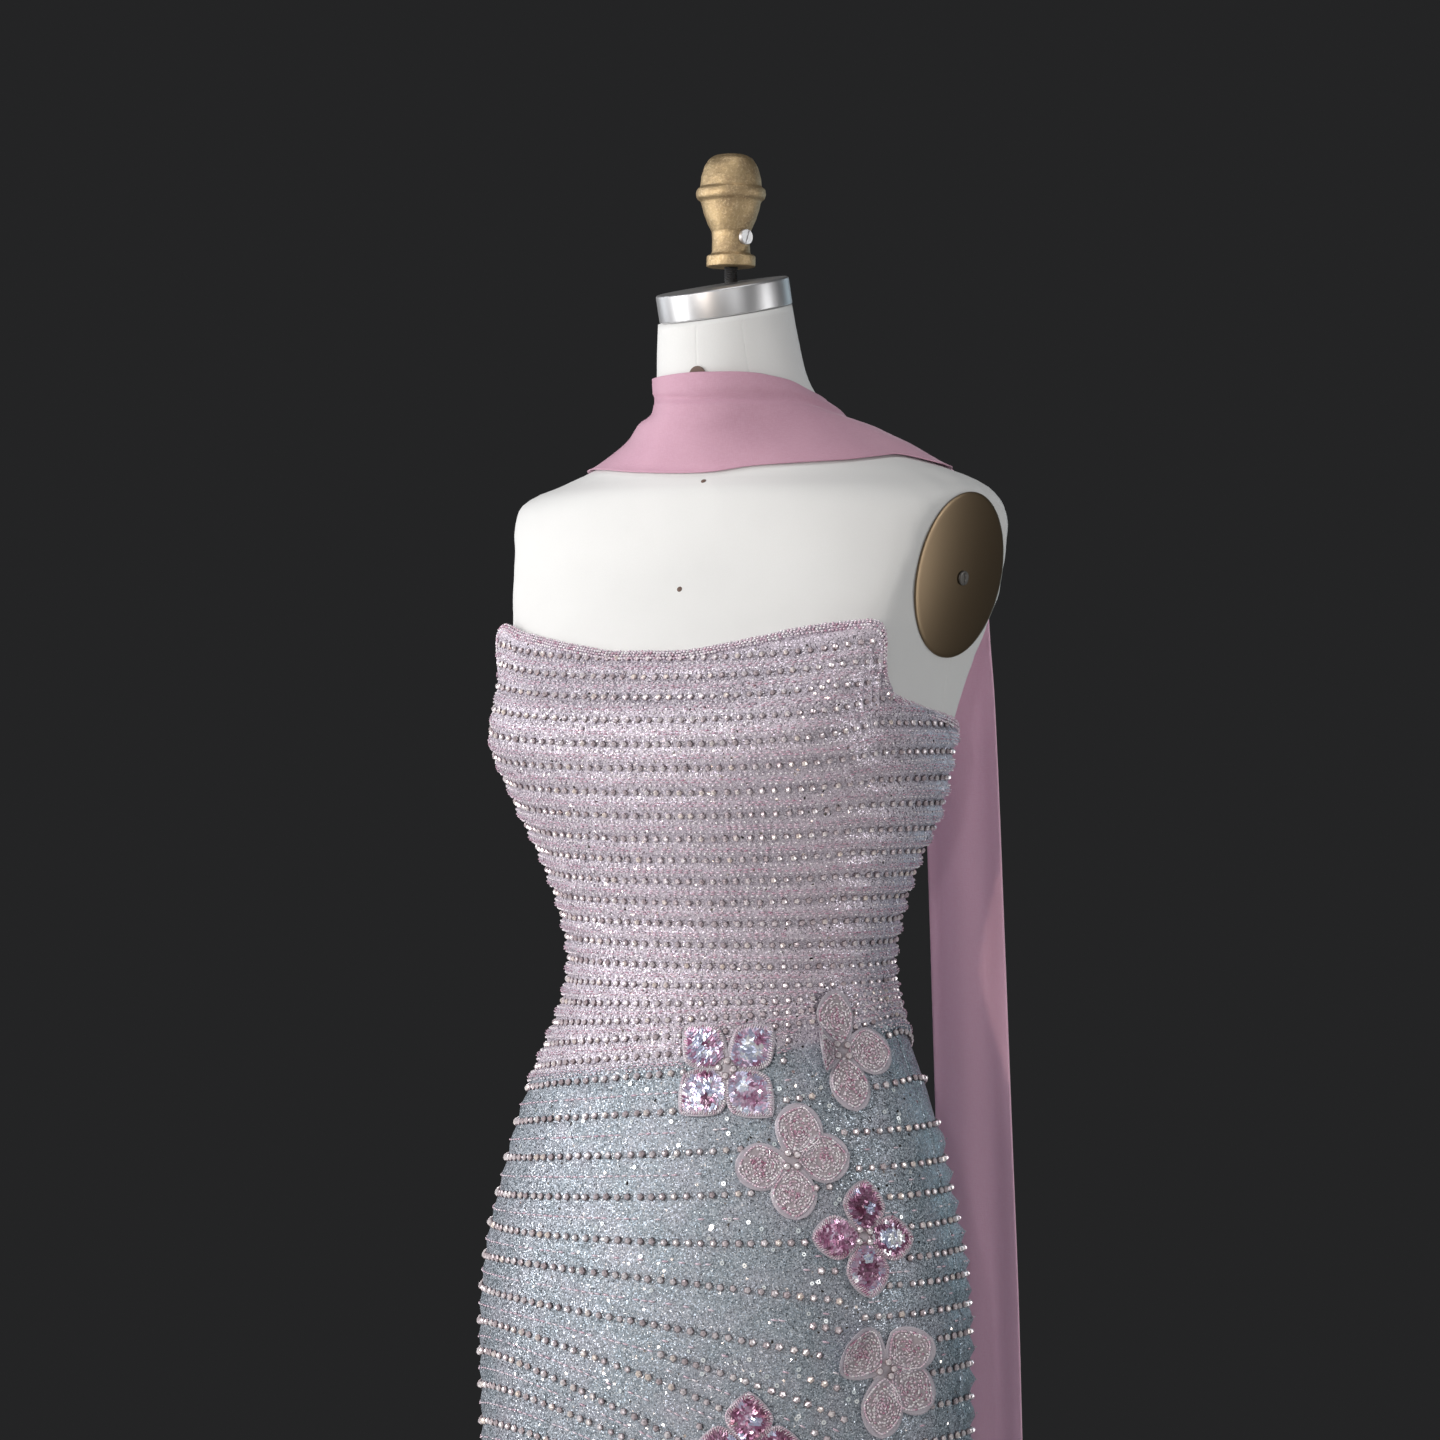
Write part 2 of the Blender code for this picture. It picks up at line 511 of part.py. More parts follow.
def build_scarf():
    top, bottom = collar_edges(ANGLES)
    full = smooth_table(ANGLES, COLLAR[:, 0], COLLAR[:, 3])
    share = np.array([f[0] for f in FOLD])[:, None]
    off = np.array([f[1] for f in FOLD])[:, None]
    z = top + (bottom - top) * share
    angle = np.broadcast_to(ANGLES, z.shape)
    body = np.sin(math.pi * share) ** 0.5
    off = off + (full - 1) * 6.0 * body + 0.5 * body * np.sin(np.radians(angle * 3 + 200 * share))
    base, n = tilted(surface(angle, z), z), normals(angle, z)
    inner = base + off[..., None] * n
    outer = base + (off + SCARF_WALL)[..., None] * n
    points, faces = shell(outer, inner, around=True)
    node("scarf_neck", points, faces, (0.62, 0.40, 0.50))

    back = np.linspace(88, 180, 185)
    t = np.linspace(0, 1, TAIL_COLUMNS)
    inside, outside = [], []
    for i, (height, left, right, y, fold) in enumerate(TAIL):
        x = left + (right - left) * t
        z = np.full(TAIL_COLUMNS, height)
        if i == 0:
            line = surface(back, 1446.0)
            here = np.interp(x, line[::-1, 0], back[::-1])
            z = collar_edges(here)[1]
            step = np.linalg.norm(surface(here, z - 1.0) - surface(here, z), axis=1)
            z = z - 0.6 / step
        wave = np.sin(2 * math.pi * (2.5 * t + 0.1) + 0.0012 * (1444 - height))
        lies, over = [], []
        for one_x, one_z in zip(x, z):
            line = surface(back, one_z)
            over.append(np.interp(one_x, line[::-1, 0], back[::-1]))
            lies.append(np.interp(one_x, line[::-1, 0], line[::-1, 1]))
        if y == 0:
            base, n = surface(np.array(over), z), normals(np.array(over), z)
            off = (1.0 + 1.3 * min(1.0, fold) + fold * (0.9 + 0.6 * wave))[:, None]
            inside.append(base + off * n)
            outside.append(base + (off + SCARF_WALL) * n)
            continue
        lie = np.maximum(np.array(lies) + 4.0 + fold, y - 6.0 * (t - 0.5) ** 2) + fold * wave
        inside.append(np.stack([x, lie, z], 1))
        outside.append(np.stack([x, lie + SCARF_WALL, z], 1))
    inside, outside = np.array(inside), np.array(outside)
    # Columns run towards +X, which is clockwise behind the form, so they are turned round here.
    points, faces = shell(outside[:, ::-1], inside[:, ::-1], around=False)
    node("scarf_tail", points, faces, (0.62, 0.40, 0.50))


clear()
build_form()
build_neck()
build_plates()
build_stand()
build_gown()
build_flowers([bpy.data.objects[n] for n in ("gown_front", "gown_back_left")])
build_scarf()
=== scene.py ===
"""An evening gown beaded in rows, with its scarf, on the limbless dress form that carries it.

The scene is in metres and the tables are in millimetres and degrees. The form faces -Y, its left side
is +X, and its pole stands on the origin. Angles run round the pole from the front towards +X.
"""

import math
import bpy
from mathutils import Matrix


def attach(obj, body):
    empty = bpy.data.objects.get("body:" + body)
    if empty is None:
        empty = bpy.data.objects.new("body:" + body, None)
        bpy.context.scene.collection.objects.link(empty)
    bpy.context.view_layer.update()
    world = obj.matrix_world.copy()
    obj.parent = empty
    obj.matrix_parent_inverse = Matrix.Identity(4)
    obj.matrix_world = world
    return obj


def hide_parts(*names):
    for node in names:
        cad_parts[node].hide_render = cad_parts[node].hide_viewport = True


bl_info = {
    "name": "Beaded Evening Gown",
    "version": (1, 0, 0),
    "blender": (4, 5, 0),
    "location": "View3D > Sidebar > Gown",
    "description": "A column gown with beaded rows, flowers and a scarf, on a dress form",
    "category": "Object",
}

import bpy
import numpy as np
from bpy.props import FloatProperty, FloatVectorProperty, IntProperty, PointerProperty
from mathutils import Vector

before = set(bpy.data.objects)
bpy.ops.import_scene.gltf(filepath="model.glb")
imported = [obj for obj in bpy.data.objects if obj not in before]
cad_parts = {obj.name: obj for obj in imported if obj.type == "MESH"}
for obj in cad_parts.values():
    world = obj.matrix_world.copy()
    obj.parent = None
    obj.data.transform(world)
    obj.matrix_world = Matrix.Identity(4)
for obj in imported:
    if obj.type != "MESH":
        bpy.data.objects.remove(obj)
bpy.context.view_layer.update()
MM = 0.001

# ---- the form's shape
# Height, half width, depth in front of the pole, depth behind it, how far back the widest points sit,
# roundness (2 is an ellipse).
SECTIONS = np.array([
    (28, 226, 201, 201, 0, 2.0), (150, 214, 186, 184, 0, 2.0), (300, 202, 166, 158, 0, 2.0),
    (450, 192, 148, 132, 0, 2.0), (600, 184, 137, 112, -2, 2.05), (700, 181, 134, 105, -4, 2.1),
    (766, 180, 136, 103, -6, 2.1), (837, 180, 140, 100, -7, 2.1), (890, 176, 138, 98, -6, 2.1),
    (940, 165, 131, 94, -4, 2.1), (990, 152.5, 119, 89, -2, 2.1), (1040, 133, 102, 85, 0, 2.1),
    (1075, 120, 94, 82, 1, 2.1), (1100, 117, 89, 81, 1, 2.1), (1130, 122, 92, 80, 1, 2.1),
    (1170, 136, 104, 77, 2, 2.1), (1215, 156, 118, 79, 5, 2.1), (1263, 163, 122, 86, 10, 2.15),
    (1300, 169, 107, 95, 15, 2.4), (1335, 178, 93, 101, 19, 2.75), (1363, 186, 82, 101, 22, 3.0),
    (1385, 190, 74, 97, 25, 3.0), (1405, 191, 70, 92, 29, 3.1), (1420, 186, 67, 92, 32, 3.1),
    (1432, 176, 63, 94, 38, 2.8), (1441, 162, 54, 90, 46, 2.25), (1450, 139, 50, 76, 46, 2.05),
    (1460, 116, 50, 72, 45, 2.0), (1470, 92, 50, 67, 40, 2.0), (1482, 71, 51, 60, 28, 2.0),
    (1495, 60, 52, 55, 14, 2.0), (1512, 54, 53, 49, 3, 2.0), (1535, 50.5, 54, 44, -3, 2.0),
    (1558, 47.5, 54.3, 40.3, -7, 2.0),
])
BUST_Z, BUST_UP, BUST_DOWN = 1263.0, 52.0, 42.0
BUST_ANGLE, BUST_WIDE, BUST_OUT = 40.0, 30.0, 24.0
# Angle and height of the gown's upper edge, and the angles where it turns a corner.
NECKLINE = np.array([
    (-180, 1265), (-140, 1265), (-119, 1267), (-95, 1272), (-84, 1276), (-75, 1281), (-68, 1285.5),
    (-61.5, 1296), (-54, 1314), (-48.5, 1335), (-46, 1336.5), (-38, 1331.5), (-28, 1327), (-16, 1321),
    (-6, 1316.5), (2, 1316.5), (10, 1321), (18, 1326.5), (27, 1332.5), (37, 1335.5), (46, 1336.5),
    (48.5, 1335), (54, 1314), (61.5, 1296), (68, 1285.5), (75, 1281), (84, 1276),
    (95, 1272), (119, 1267), (140, 1265), (180, 1265),
])
CORNERS = (-61.5, -51, -48.5, -47, 47, 48.5, 51, 61.5)
# How much of the upper edge's rise a row of the panels' mesh keeps: height of the row, share.
KEEP = np.array([
    (1100, 0), (1128, 0.08), (1155, 0.2), (1180, 0.32), (1204, 0.44), (1228, 0.58), (1252, 0.72), (1276, 0.86),
    (1300, 1.0),
])
# The neck leans more and more from one height up to its top, in this direction, about this middle.
LEAN_FROM, NECK_TOP, LEAN_CURVE = 1480.0, 1558.0, 1.5
NECK_TILT = np.array([0.066, 0.197])
NECK_MIDDLE = np.array([0.0, -7.0])
# The left arm plate: its middle, its ways out and along, half its length and width. The right one mirrors it.
PLATE_AT = np.array([169.57, 20.03, 1371.39])
PLATE_NORMAL = np.array([0.971, -0.206, -0.122])
PLATE_LONG = np.array([0.174, 0.2578, 0.9505])
PLATE_HALF = (59.0, 47.3)
PLATE_ZONE, PLATE_BLEND = (1372, 106), 9.0  # where the form is flattened for it, and how softly
LEFT_AND_RIGHT = ((1, "left"), (-1, "right"))


def between(x, start, end):
    """0 at the start, 1 at the end and even in between."""
    return np.clip((x - start) / (end - start), 0, 1)


def bell(x, middle, width, power=2):
    """1 at the middle, falling off within about a width."""
    return np.exp(-(((x - middle) / width) ** power))


def unit(vectors):
    return vectors / np.linalg.norm(vectors, axis=-1, keepdims=True)


def lengths(line):
    """How far along a line of points each of them is."""
    return np.concatenate([[0], np.cumsum(np.linalg.norm(np.diff(line, axis=0), axis=1))])


def taken(grid, along, at):
    """The rows of a grid, read at distances along it."""
    return np.stack([np.interp(at, along, grid[:, k]) for k in range(3)], 1)


def smooth_table(x, xs, ys):
    """Monotone cubic through the table."""
    x = np.clip(np.asarray(x, float), xs[0], xs[-1])
    step = np.diff(xs)
    slope = np.diff(ys) / step
    both = slope[:-1] + slope[1:]
    inner = np.where(slope[:-1] * slope[1:] > 0, 2 * slope[:-1] * slope[1:] / np.where(both == 0, 1, both), 0)
    tangent = np.concatenate([[slope[0]], inner, [slope[-1]]])
    k = np.clip(np.searchsorted(xs, x, side="right") - 1, 0, len(step) - 1)
    t = (x - xs[k]) / step[k]
    return (
        ys[k] * (1 + 2 * t) * (1 - t) ** 2
        + tangent[k] * step[k] * t * (1 - t) ** 2
        + ys[k + 1] * t * t * (3 - 2 * t)
        + tangent[k + 1] * step[k] * t * t * (t - 1)
    )


def read_table(x, table):
    """Every further column of a table, at the places x in its first one."""
    return [smooth_table(x, table[:, 0], table[:, i]) for i in range(1, table.shape[1])]


def surface(angle, z):
    """Points on the form, or on the skirt below it."""
    angle, z = np.broadcast_arrays(np.asarray(angle, float), np.asarray(z, float))
    half, front, behind, back_set, power = read_table(z, SECTIONS)
    s, c = np.sin(np.radians(angle)), np.cos(np.radians(angle))
    x = half * np.sign(s) * np.abs(s) ** (2 / power)
    y = back_set * (x / half) ** 2 - np.where(c > 0, front, behind) * np.sign(c) * np.abs(c) ** (2 / power)
    up = np.where(z > BUST_Z, BUST_UP, BUST_DOWN)
    for side in (-1, 1):
        turn = (angle - side * BUST_ANGLE) / BUST_WIDE
        out = BUST_OUT * np.exp(-turn * turn - ((z - BUST_Z) / up) ** 2)
        x = x + out * math.sin(math.radians(side * BUST_ANGLE))
        y = y - out * math.cos(math.radians(BUST_ANGLE))
    points = np.stack([x, y, z], -1)
    for side, _ in LEFT_AND_RIGHT[::-1]:
        mirror = np.array([side, 1, 1])
        normal = PLATE_NORMAL * mirror
        d = (points - PLATE_AT * mirror) @ normal
        cut = d - 0.5 * (d - np.sqrt(d * d + PLATE_BLEND))
        points = points - bell(z, *PLATE_ZONE, 8)[..., None] * cut[..., None] * normal
    return points


def normals(angle, z):
    a = surface(np.asarray(angle) + 0.4, z) - surface(np.asarray(angle) - 0.4, z)
    b = surface(angle, np.asarray(z) + 1.0) - surface(angle, np.asarray(z) - 1.0)
    return unit(np.cross(a, b))


def per_degree(angle, height):
    """Millimetres round the form to one degree."""
    return np.linalg.norm(surface(angle + 0.5, height) - surface(angle - 0.5, height))


def neckline(angle):
    return read_table(angle, NECKLINE)[0]


def neck_plane(points):
    return (np.asarray(points)[..., :2] - NECK_MIDDLE) @ NECK_TILT


def lean(points, z):
    """How far the leaning neck lifts points at a height."""
    return between(z, LEAN_FROM, NECK_TOP) ** LEAN_CURVE * neck_plane(points)


def tilted(points, z):
    points = points.copy()
    points[..., 2] += lean(points, z)
    return points


# ---- the beaded rows
# Heights of the rows of stones where they leave the right side, top first.
BODICE_ROWS = (
    1328.5, 1314.5, 1299, 1283, 1266.5, 1249, 1231, 1214, 1197, 1181, 1165, 1149, 1133, 1117, 1101, 1085, 1069,
    1053, 1037, 1021,
)
SKIRT_ROWS = (1006, 982, 957, 932, 911, 888, 866, 841, 819, 795, 769) + tuple(range(746, 30, -23))
ROW_HEIGHTS = np.array(BODICE_ROWS + SKIRT_ROWS, float)
# Usual distances between two rows, and from the first one to the gown's edge.
BODICE_GAP, SKIRT_GAP, TOP_GAP = 16.3, 23.0, 17.0
# How the rows bend on the front: height, rise, fall, how much higher they run at the left side.
BEND = np.array([
    (28, 0, 0, 0), (300, 0, 0, 0), (500, 8, 12, 8), (600, 25, 45, 20), (700, 50, 95, 30), (769, 60, 122, 34),
    (795, 62, 135, 31), (819, 60, 147, 29), (841, 46, 104, 26), (866, 14, 33, 21), (888, 22, 27, 16),
    (911, 6, 0, 13), (932, 19, 0, 13), (957, 24, 0, 8), (982, 28, 0, 7), (1006, 30, 0, 43), (1101, 0, 0, 0),
    (1400, 0, 0, 0),
])
BEND_FROM, BEND_TO = -64.0, 90.0  # angles between which they bend
STEADY_RISE = 1005.0  # rows above this height rise steadily to the left side
LEVEL_ROW, FRONT_DIP = 1101.0, 17.0  # above this row they dip at the front, the top one by this much
LAST_BODICE = len(BODICE_ROWS)  # the row that parts the lilac bodice from the ice-blue skirt
CASCADE = (50.0, 54.0)  # the rows of the skirt break off behind the flowers
CLOTH_OUT, LINING_OUT = 2.5, 0.5  # how far the panels' outer and inner faces stand off the form
ALL_ROUND = np.arange(-180, 180.01, 0.5)


def row_height(level, angle, right):
    """Height of a row at an angle; right is the family of rows that runs on past the flowers."""
    level, angle = np.broadcast_arrays(np.asarray(level, float), np.asarray(angle, float))
    rise, fall, past = read_table(level, BEND)
    bodice = between(level, LEVEL_ROW, BODICE_ROWS[0])
    dip = bodice * FRONT_DIP * (np.minimum((np.abs(angle) / 60) ** 2, 1) - 1)
    t = np.clip(angle - BEND_FROM, 0, BEND_TO - BEND_FROM) / 100
    lower = np.where(level >= STEADY_RISE, rise * t, past)
    fade = 0.5 + 0.5 * np.cos(np.pi * between(angle, 90, 180))
    return np.where(right, level + dip + lower * fade, level + dip + rise * t - fall * t * t)


def row_phase(angle, z):
    """Which row of stones a place is at, counted from the top, with the share of the way to the next."""
    phase = np.zeros_like(z)
    for column, a in enumerate(angle[0]):
        heights = row_height(ROW_HEIGHTS, a, a > CASCADE[1])
        heights = np.concatenate([[heights[0] + TOP_GAP], heights])
        phase[:, column] = np.interp(-z[:, column], -heights, np.arange(len(heights)) - 1.0)
    return phase


def stand_off(angle, z):
    """How far the gown's corners stand off the form, near its upper edge."""
    return 7.5 * bell(np.abs(angle), 52, 12) * np.exp(-(neckline(angle) - z) / 28.0)


def gown_point(angle, z, out):
    return surface(angle, z) + np.asarray(out + stand_off(angle, z))[..., None] * normals(angle, z)


def swelling(angle, share, inside):
    """How far the cloth swells at a share of the way between two rows; inside is 1 on the bodice."""
    wave = np.sin(np.pi * share) ** 2
    round_in = np.abs(angle)
    side = between(round_in, 30, 65) * np.clip((170 - round_in) / 40, 0.25, 1)
    away = between(round_in, 92, 106) * between(round_in, 145, 125)
    skirt = 0.15 * wave + 1.5 * side * wave**1.5 + 3.0 * away * wave**2
    return inside * wave * (1.0 + 3.2 * side) + (1 - inside) * skirt


def cloth_out(angle, z, phase):
    """How far the outer face stands off, swelling between the rows, and the height of that swell."""
    inside = 1 / (1 + np.exp((phase - LAST_BODICE + 0.3) * 8))
    gap = np.gradient(z, axis=0) / np.maximum(np.gradient(phase, axis=0), 1e-4)
    swell = swelling(angle, phase % 1.0, inside) * np.clip((44 - np.abs(gap)) / 12, 0.1, 1)
    swell = swell * np.where(covered(angle, z, 6.0), 0.1, 1.0) * np.clip((neckline(angle) - z) / 3, 0, 1)
    return CLOTH_OUT + swell, swell


def strands(pairs, shares, pick):
    """Lines of (angle, z) at shares of the way between rows; pick says where a line is worked."""
    lines, turn = [], ALL_ROUND
    for i in pairs:
        bodice = i < LAST_BODICE  # a row of the bodice runs on past the flowers in one line
        whole = [(turn > CASCADE[1], turn >= turn[0])]
        broken = [(False, turn <= CASCADE[0]), (True, turn >= CASCADE[1])]
        for right, mine in whole if bodice else broken:
            high, low = (row_height(ROW_HEIGHTS[k], turn, right) for k in (i, i + 1))
            gap = (high - low) / (BODICE_GAP if bodice else SKIRT_GAP)
            for share in shares:
                z = high + (low - high) * share
                kept = mine & pick(share, gap, turn) & (z < neckline(turn) - 4) & (z > 36)
                edges = np.flatnonzero(np.diff(np.concatenate([[0], kept.astype(int), [0]])))
                lines += [(turn[a:b], z[a:b]) for a, b in zip(edges[::2], edges[1::2]) if b - a > 6]
    return lines


def strung(angle, z, pitch, start, out):
    """Even places along a line on the gown: points, outward and onward directions, angles, heights."""
    line = gown_point(angle, z, out)
    along = lengths(line)
    at = np.arange(start, along[-1], pitch)
    a, h = np.interp(at, along, angle), np.interp(at, along, z)
    ahead = taken(line, along, at + 1) - taken(line, along, at - 1)
    return taken(line, along, at), normals(a, h), ahead, a, h


# ---- the flowers
# Each flower: angle and height of its middle, how pointed its petals are, and for each petal its turn, its
# reach, half its width, the share of its reach where it bends up, and by how much. Degrees and millimetres.
FLOWERS = {
    "flower_1": (21.0, 1031, 1.0, (
        (38, 46, 16.5, 0.5, 4), (137, 41.5, 17.0, 0.5, 4), (228, 42, 17.8, 0.5, 3), (314, 44, 17.2, 0.5, 3))),
    "flower_2": (59.5, 1042.5, 0.1, (
        (-4, 40, 16.0, 0.5, 8), (88, 42, 14.0, 0.45, 14), (178, 32, 15.5, 0.36, 75), (271, 41, 13.5, 0.5, 4))),
    "flower_3": (38.9, 971, 0.1, (
        (3, 41, 16.5, 0.5, 5), (73, 38.5, 17.0, 0.5, 4), (192, 37, 16.0, 0.5, 6), (272, 39.5, 15.0, 0.5, 3))),
    "flower_4": (57.3, 920, 0.5, (
        (-6, 38.5, 15.0, 0.5, 6), (81, 38, 15.5, 0.5, 4), (180, 35, 14.8, 0.5, 4), (271, 41, 15.0, 0.5, 4))),
    "flower_5": (61.4, 831.5, 0.1, (
        (-36, 46, 17.0, 0.5, 8), (38, 40, 18.0, 0.42, 50), (147, 40, 19.0, 0.55, 48), (264, 47, 15.5, 0.5, 4))),
    "flower_6": (26.6, 779, 0.9, (
        (3, 38, 16.0, 0.5, 4), (89, 40, 16.5, 0.5, 5), (181, 37, 16.0, 0.5, 4), (269, 40, 16.0, 0.5, 4))),
}
FLOWER_MIDDLE = 12.0  # radius of the round of organza that joins the petals
FLOWER_REACH = 52.0  # no petal lies farther from its middle than this
SEQUINNED = ("flower_1", "flower_4", "flower_6")


def petal_width(s, point):
    """Share of a petal's half width at a share of its reach; it is widest at 0.55."""
    x = np.where(s > 0.55, (s - 0.55) / 0.45, (0.55 - s) / 0.55)
    return np.where(s > 0.55, (1 - x ** (2 - 0.6 * point)) ** (0.5 + 0.35 * point), (1 - x**1.7) ** 0.8)


def flower_edge(flower, way):
    """How far each petal of a flower reaches at a turn in radians."""
    point, petals = FLOWERS[flower][2:]
    s = np.linspace(0.01, 1, 60)
    edges = []
    for turn, reach, half, *_ in petals:
        wide, long = half * petal_width(s, point), reach * s
        off = np.abs((way - math.radians(turn) + math.pi) % (2 * math.pi) - math.pi)
        edges.append(np.interp(off, np.arctan2(wide, long)[::-1], np.hypot(wide, long)[::-1], right=0))
    return np.array(edges)


def petal_place(flower, k, long, wide):
    """Where a place on petal k lies over the gown: its angle, its height and how far it is bent up."""
    angle, height, _, petals = FLOWERS[flower]
    turn, reach, _, at, bend = petals[k]
    past = np.maximum(0, long - at * reach)
    past = past * past / (past + 3.0)
    long = long - past * (1 - math.cos(math.radians(bend)))
    way = math.radians(turn)
    u, v = long * math.cos(way) - wide * math.sin(way), long * math.sin(way) + wide * math.cos(way)
    return angle + u / per_degree(angle, height), height + v, past * math.sin(math.radians(bend))


def covered(angle, z, margin=0.0):
    """Whether a place on the gown lies under a flower."""
    under = np.zeros(np.shape(z), bool)
    for name, (middle, height, *_) in FLOWERS.items():
        u, v = (angle - middle) * per_degree(middle, height), z - height
        near = np.hypot(u, v) < FLOWER_REACH
        if near.any():
            edge = np.maximum(FLOWER_MIDDLE, flower_edge(name, np.arctan2(v[near], u[near])).max(0))
            under[near] |= np.hypot(u[near], v[near]) < edge + margin
    return under


# ---- nodes
class Wire:
    """A socket that takes part in arithmetic by adding Math nodes."""

    def __init__(self, nodes, node, socket):
        self.nodes, self.node, self.socket = nodes, node, socket

    def out(self, key):
        return Wire(self.nodes, self.node, self.node.outputs[key])

    def math(self, operation, *values):
        return self.nodes.add("ShaderNodeMath", {"operation": operation}, dict(enumerate(values)))

    def __add__(self, other):
        return self.math("ADD", self, other)

    def __mul__(self, other):
        return self.math("MULTIPLY", self, other)

    def __sub__(self, other):
        return self.math("SUBTRACT", self, other)


class Nodes:
    """Adds nodes to a shader tree or a geometry tree."""

    def __init__(self, tree):
        self.tree = tree

    def add(self, kind, settings=None, values=None, out=0):
        node = self.tree.nodes.new(kind)
        for key, value in (settings or {}).items():
            setattr(node, key, value)
        for key, value in (values or {}).items():
            if isinstance(value, Wire):
                self.tree.links.new(value.socket, node.inputs[key])
            else:
                node.inputs[key].default_value = value
        return Wire(self, node, node.outputs[out]) if node.outputs else node

    def colours(self, value, *stops):
        """A colour ramp, from places and their colours."""
        ramp = self.add("ShaderNodeValToRGB", None, {0: value})
        elements = ramp.node.color_ramp.elements
        while len(elements) < len(stops):
            elements.new(0.5)
        for element, (place, colour) in zip(elements, stops):
            element.position, element.color = place, (*colour, 1)
        return ramp

    def attribute(self, name, out="Fac"):
        return self.add("ShaderNodeAttribute", {"attribute_name": name}, out=out)

    def place(self, scale=(1, 1, 1)):
        """Object coordinates, stretched."""
        return self.vector("MULTIPLY", self.add("ShaderNodeTexCoord", out="Object"), scale)

    def vector(self, operation, a, b=None, scale=None):
        values = {0: a}
        if b is not None:
            values[1] = b
        if scale is not None:
            values["Scale"] = scale
        return self.add("ShaderNodeVectorMath", {"operation": operation}, values)

    def mix(self, share, a, b, blend="MIX"):
        a, b = (colour if isinstance(colour, Wire) else (*colour, 1) for colour in (a, b))
        settings = {"data_type": "RGBA", "blend_type": blend, "clamp_factor": True}
        return self.add("ShaderNodeMix", settings, {0: share, 6: a, 7: b}, out=2)

    def noise(self, place, scale, detail=2.0, rough=0.5):
        values = {"Vector": place, "Scale": scale, "Detail": detail, "Roughness": rough}
        return self.add("ShaderNodeTexNoise", None, values)

    def span(self, value, low, high, to_low=0.0, to_high=1.0):
        values = {0: value, 1: low, 2: high, 3: to_low, 4: to_high}
        return self.add("ShaderNodeMapRange", {"clamp": True}, values)

    def bump(self, height, distance, strength):
        values = {"Height": height, "Distance": distance, "Strength": strength}
        return self.add("ShaderNodeBump", None, values)

    def flakes(self, place, size):
        """A random colour in each cell of about that size, and its parts."""
        cell = self.add("ShaderNodeTexVoronoi", None, {"Vector": place, "Scale": 1.0 / size}).out("Color")
        return cell, self.add("ShaderNodeSeparateColor", None, {0: cell})

    def flake_normal(self, cell, tilt):
        """The surface's normal, turned a different way in each cell."""
        loose = self.vector("SCALE", self.vector("SUBTRACT", cell, (0.5, 0.5, 0.5)), scale=tilt)
        own = self.add("ShaderNodeNewGeometry", out="Normal")
        return self.vector("NORMALIZE", self.vector("ADD", own, loose))

    def cone(self, sides, low, top, height):
        values = {"Vertices": sides, "Radius Top": top, "Radius Bottom": low, "Depth": height}
        return self.add("GeometryNodeMeshCone", {"fill_type": "NONE"}, values)

    def disc(self, sides, radius):
        values = {"Vertices": sides, "Radius": radius}
        return self.add("GeometryNodeMeshCircle", {"fill_type": "NGON"}, values)

    def join(self, *parts):
        node = self.tree.nodes.new("GeometryNodeJoinGeometry")
        for part in parts[::-1]:
            self.tree.links.new(part.socket, node.inputs[0])
        return Wire(self, node, node.outputs[0])

    def moved(self, shape, height=None, turn=(0, 0, 0)):
        """A shape turned, or lifted to a height."""
        values = {"Geometry": shape, "Rotation": turn}
        if height is not None:
            values["Translation"] = self.add("ShaderNodeCombineXYZ", None, {2: height})
        return self.add("GeometryNodeTransform", None, values)

    def painted(self, shape, material, where=None):
        values = {"Geometry": shape, "Material": material}
        if where is not None:
            values["Selection"] = where
        return self.add("GeometryNodeSetMaterial", None, values)


def finish(recipe):
    """The material of a recipe, named after it and made once; the recipe gives the shader's values."""
    name = recipe.__name__.replace("_", " ")
    material = bpy.data.materials.get(name)
    if material is None:
        material = bpy.data.materials.new(name)
        material.use_nodes = True
        material.node_tree.nodes.clear()
        nodes = Nodes(material.node_tree)
        values = recipe(nodes)
        for key in ("Base Color", "Sheen Tint"):
            if key in values and not isinstance(values[key], Wire):
                values[key] = (*values[key], 1)
        shader = nodes.add("ShaderNodeBsdfPrincipled", None, values)
        nodes.add("ShaderNodeOutputMaterial", None, {"Surface": shader})
    return material


def settings():
    return bpy.context.scene.gown_settings


def grained(n, grain, dark, light, rough, relief=None, ends=(0.3, 0.7), **more):
    """Values that follow one grain: colour, roughness and, by its distance and strength, relief."""
    values = {"Base Color": n.mix(grain, dark, light), "Roughness": n.span(grain, *ends, *rough)}
    if relief is not None:
        values["Normal"] = n.bump(grain, *relief)
    return values | {key.replace("_", " "): value for key, value in more.items()}


LARGE_FLAKE = 1 / 620.0


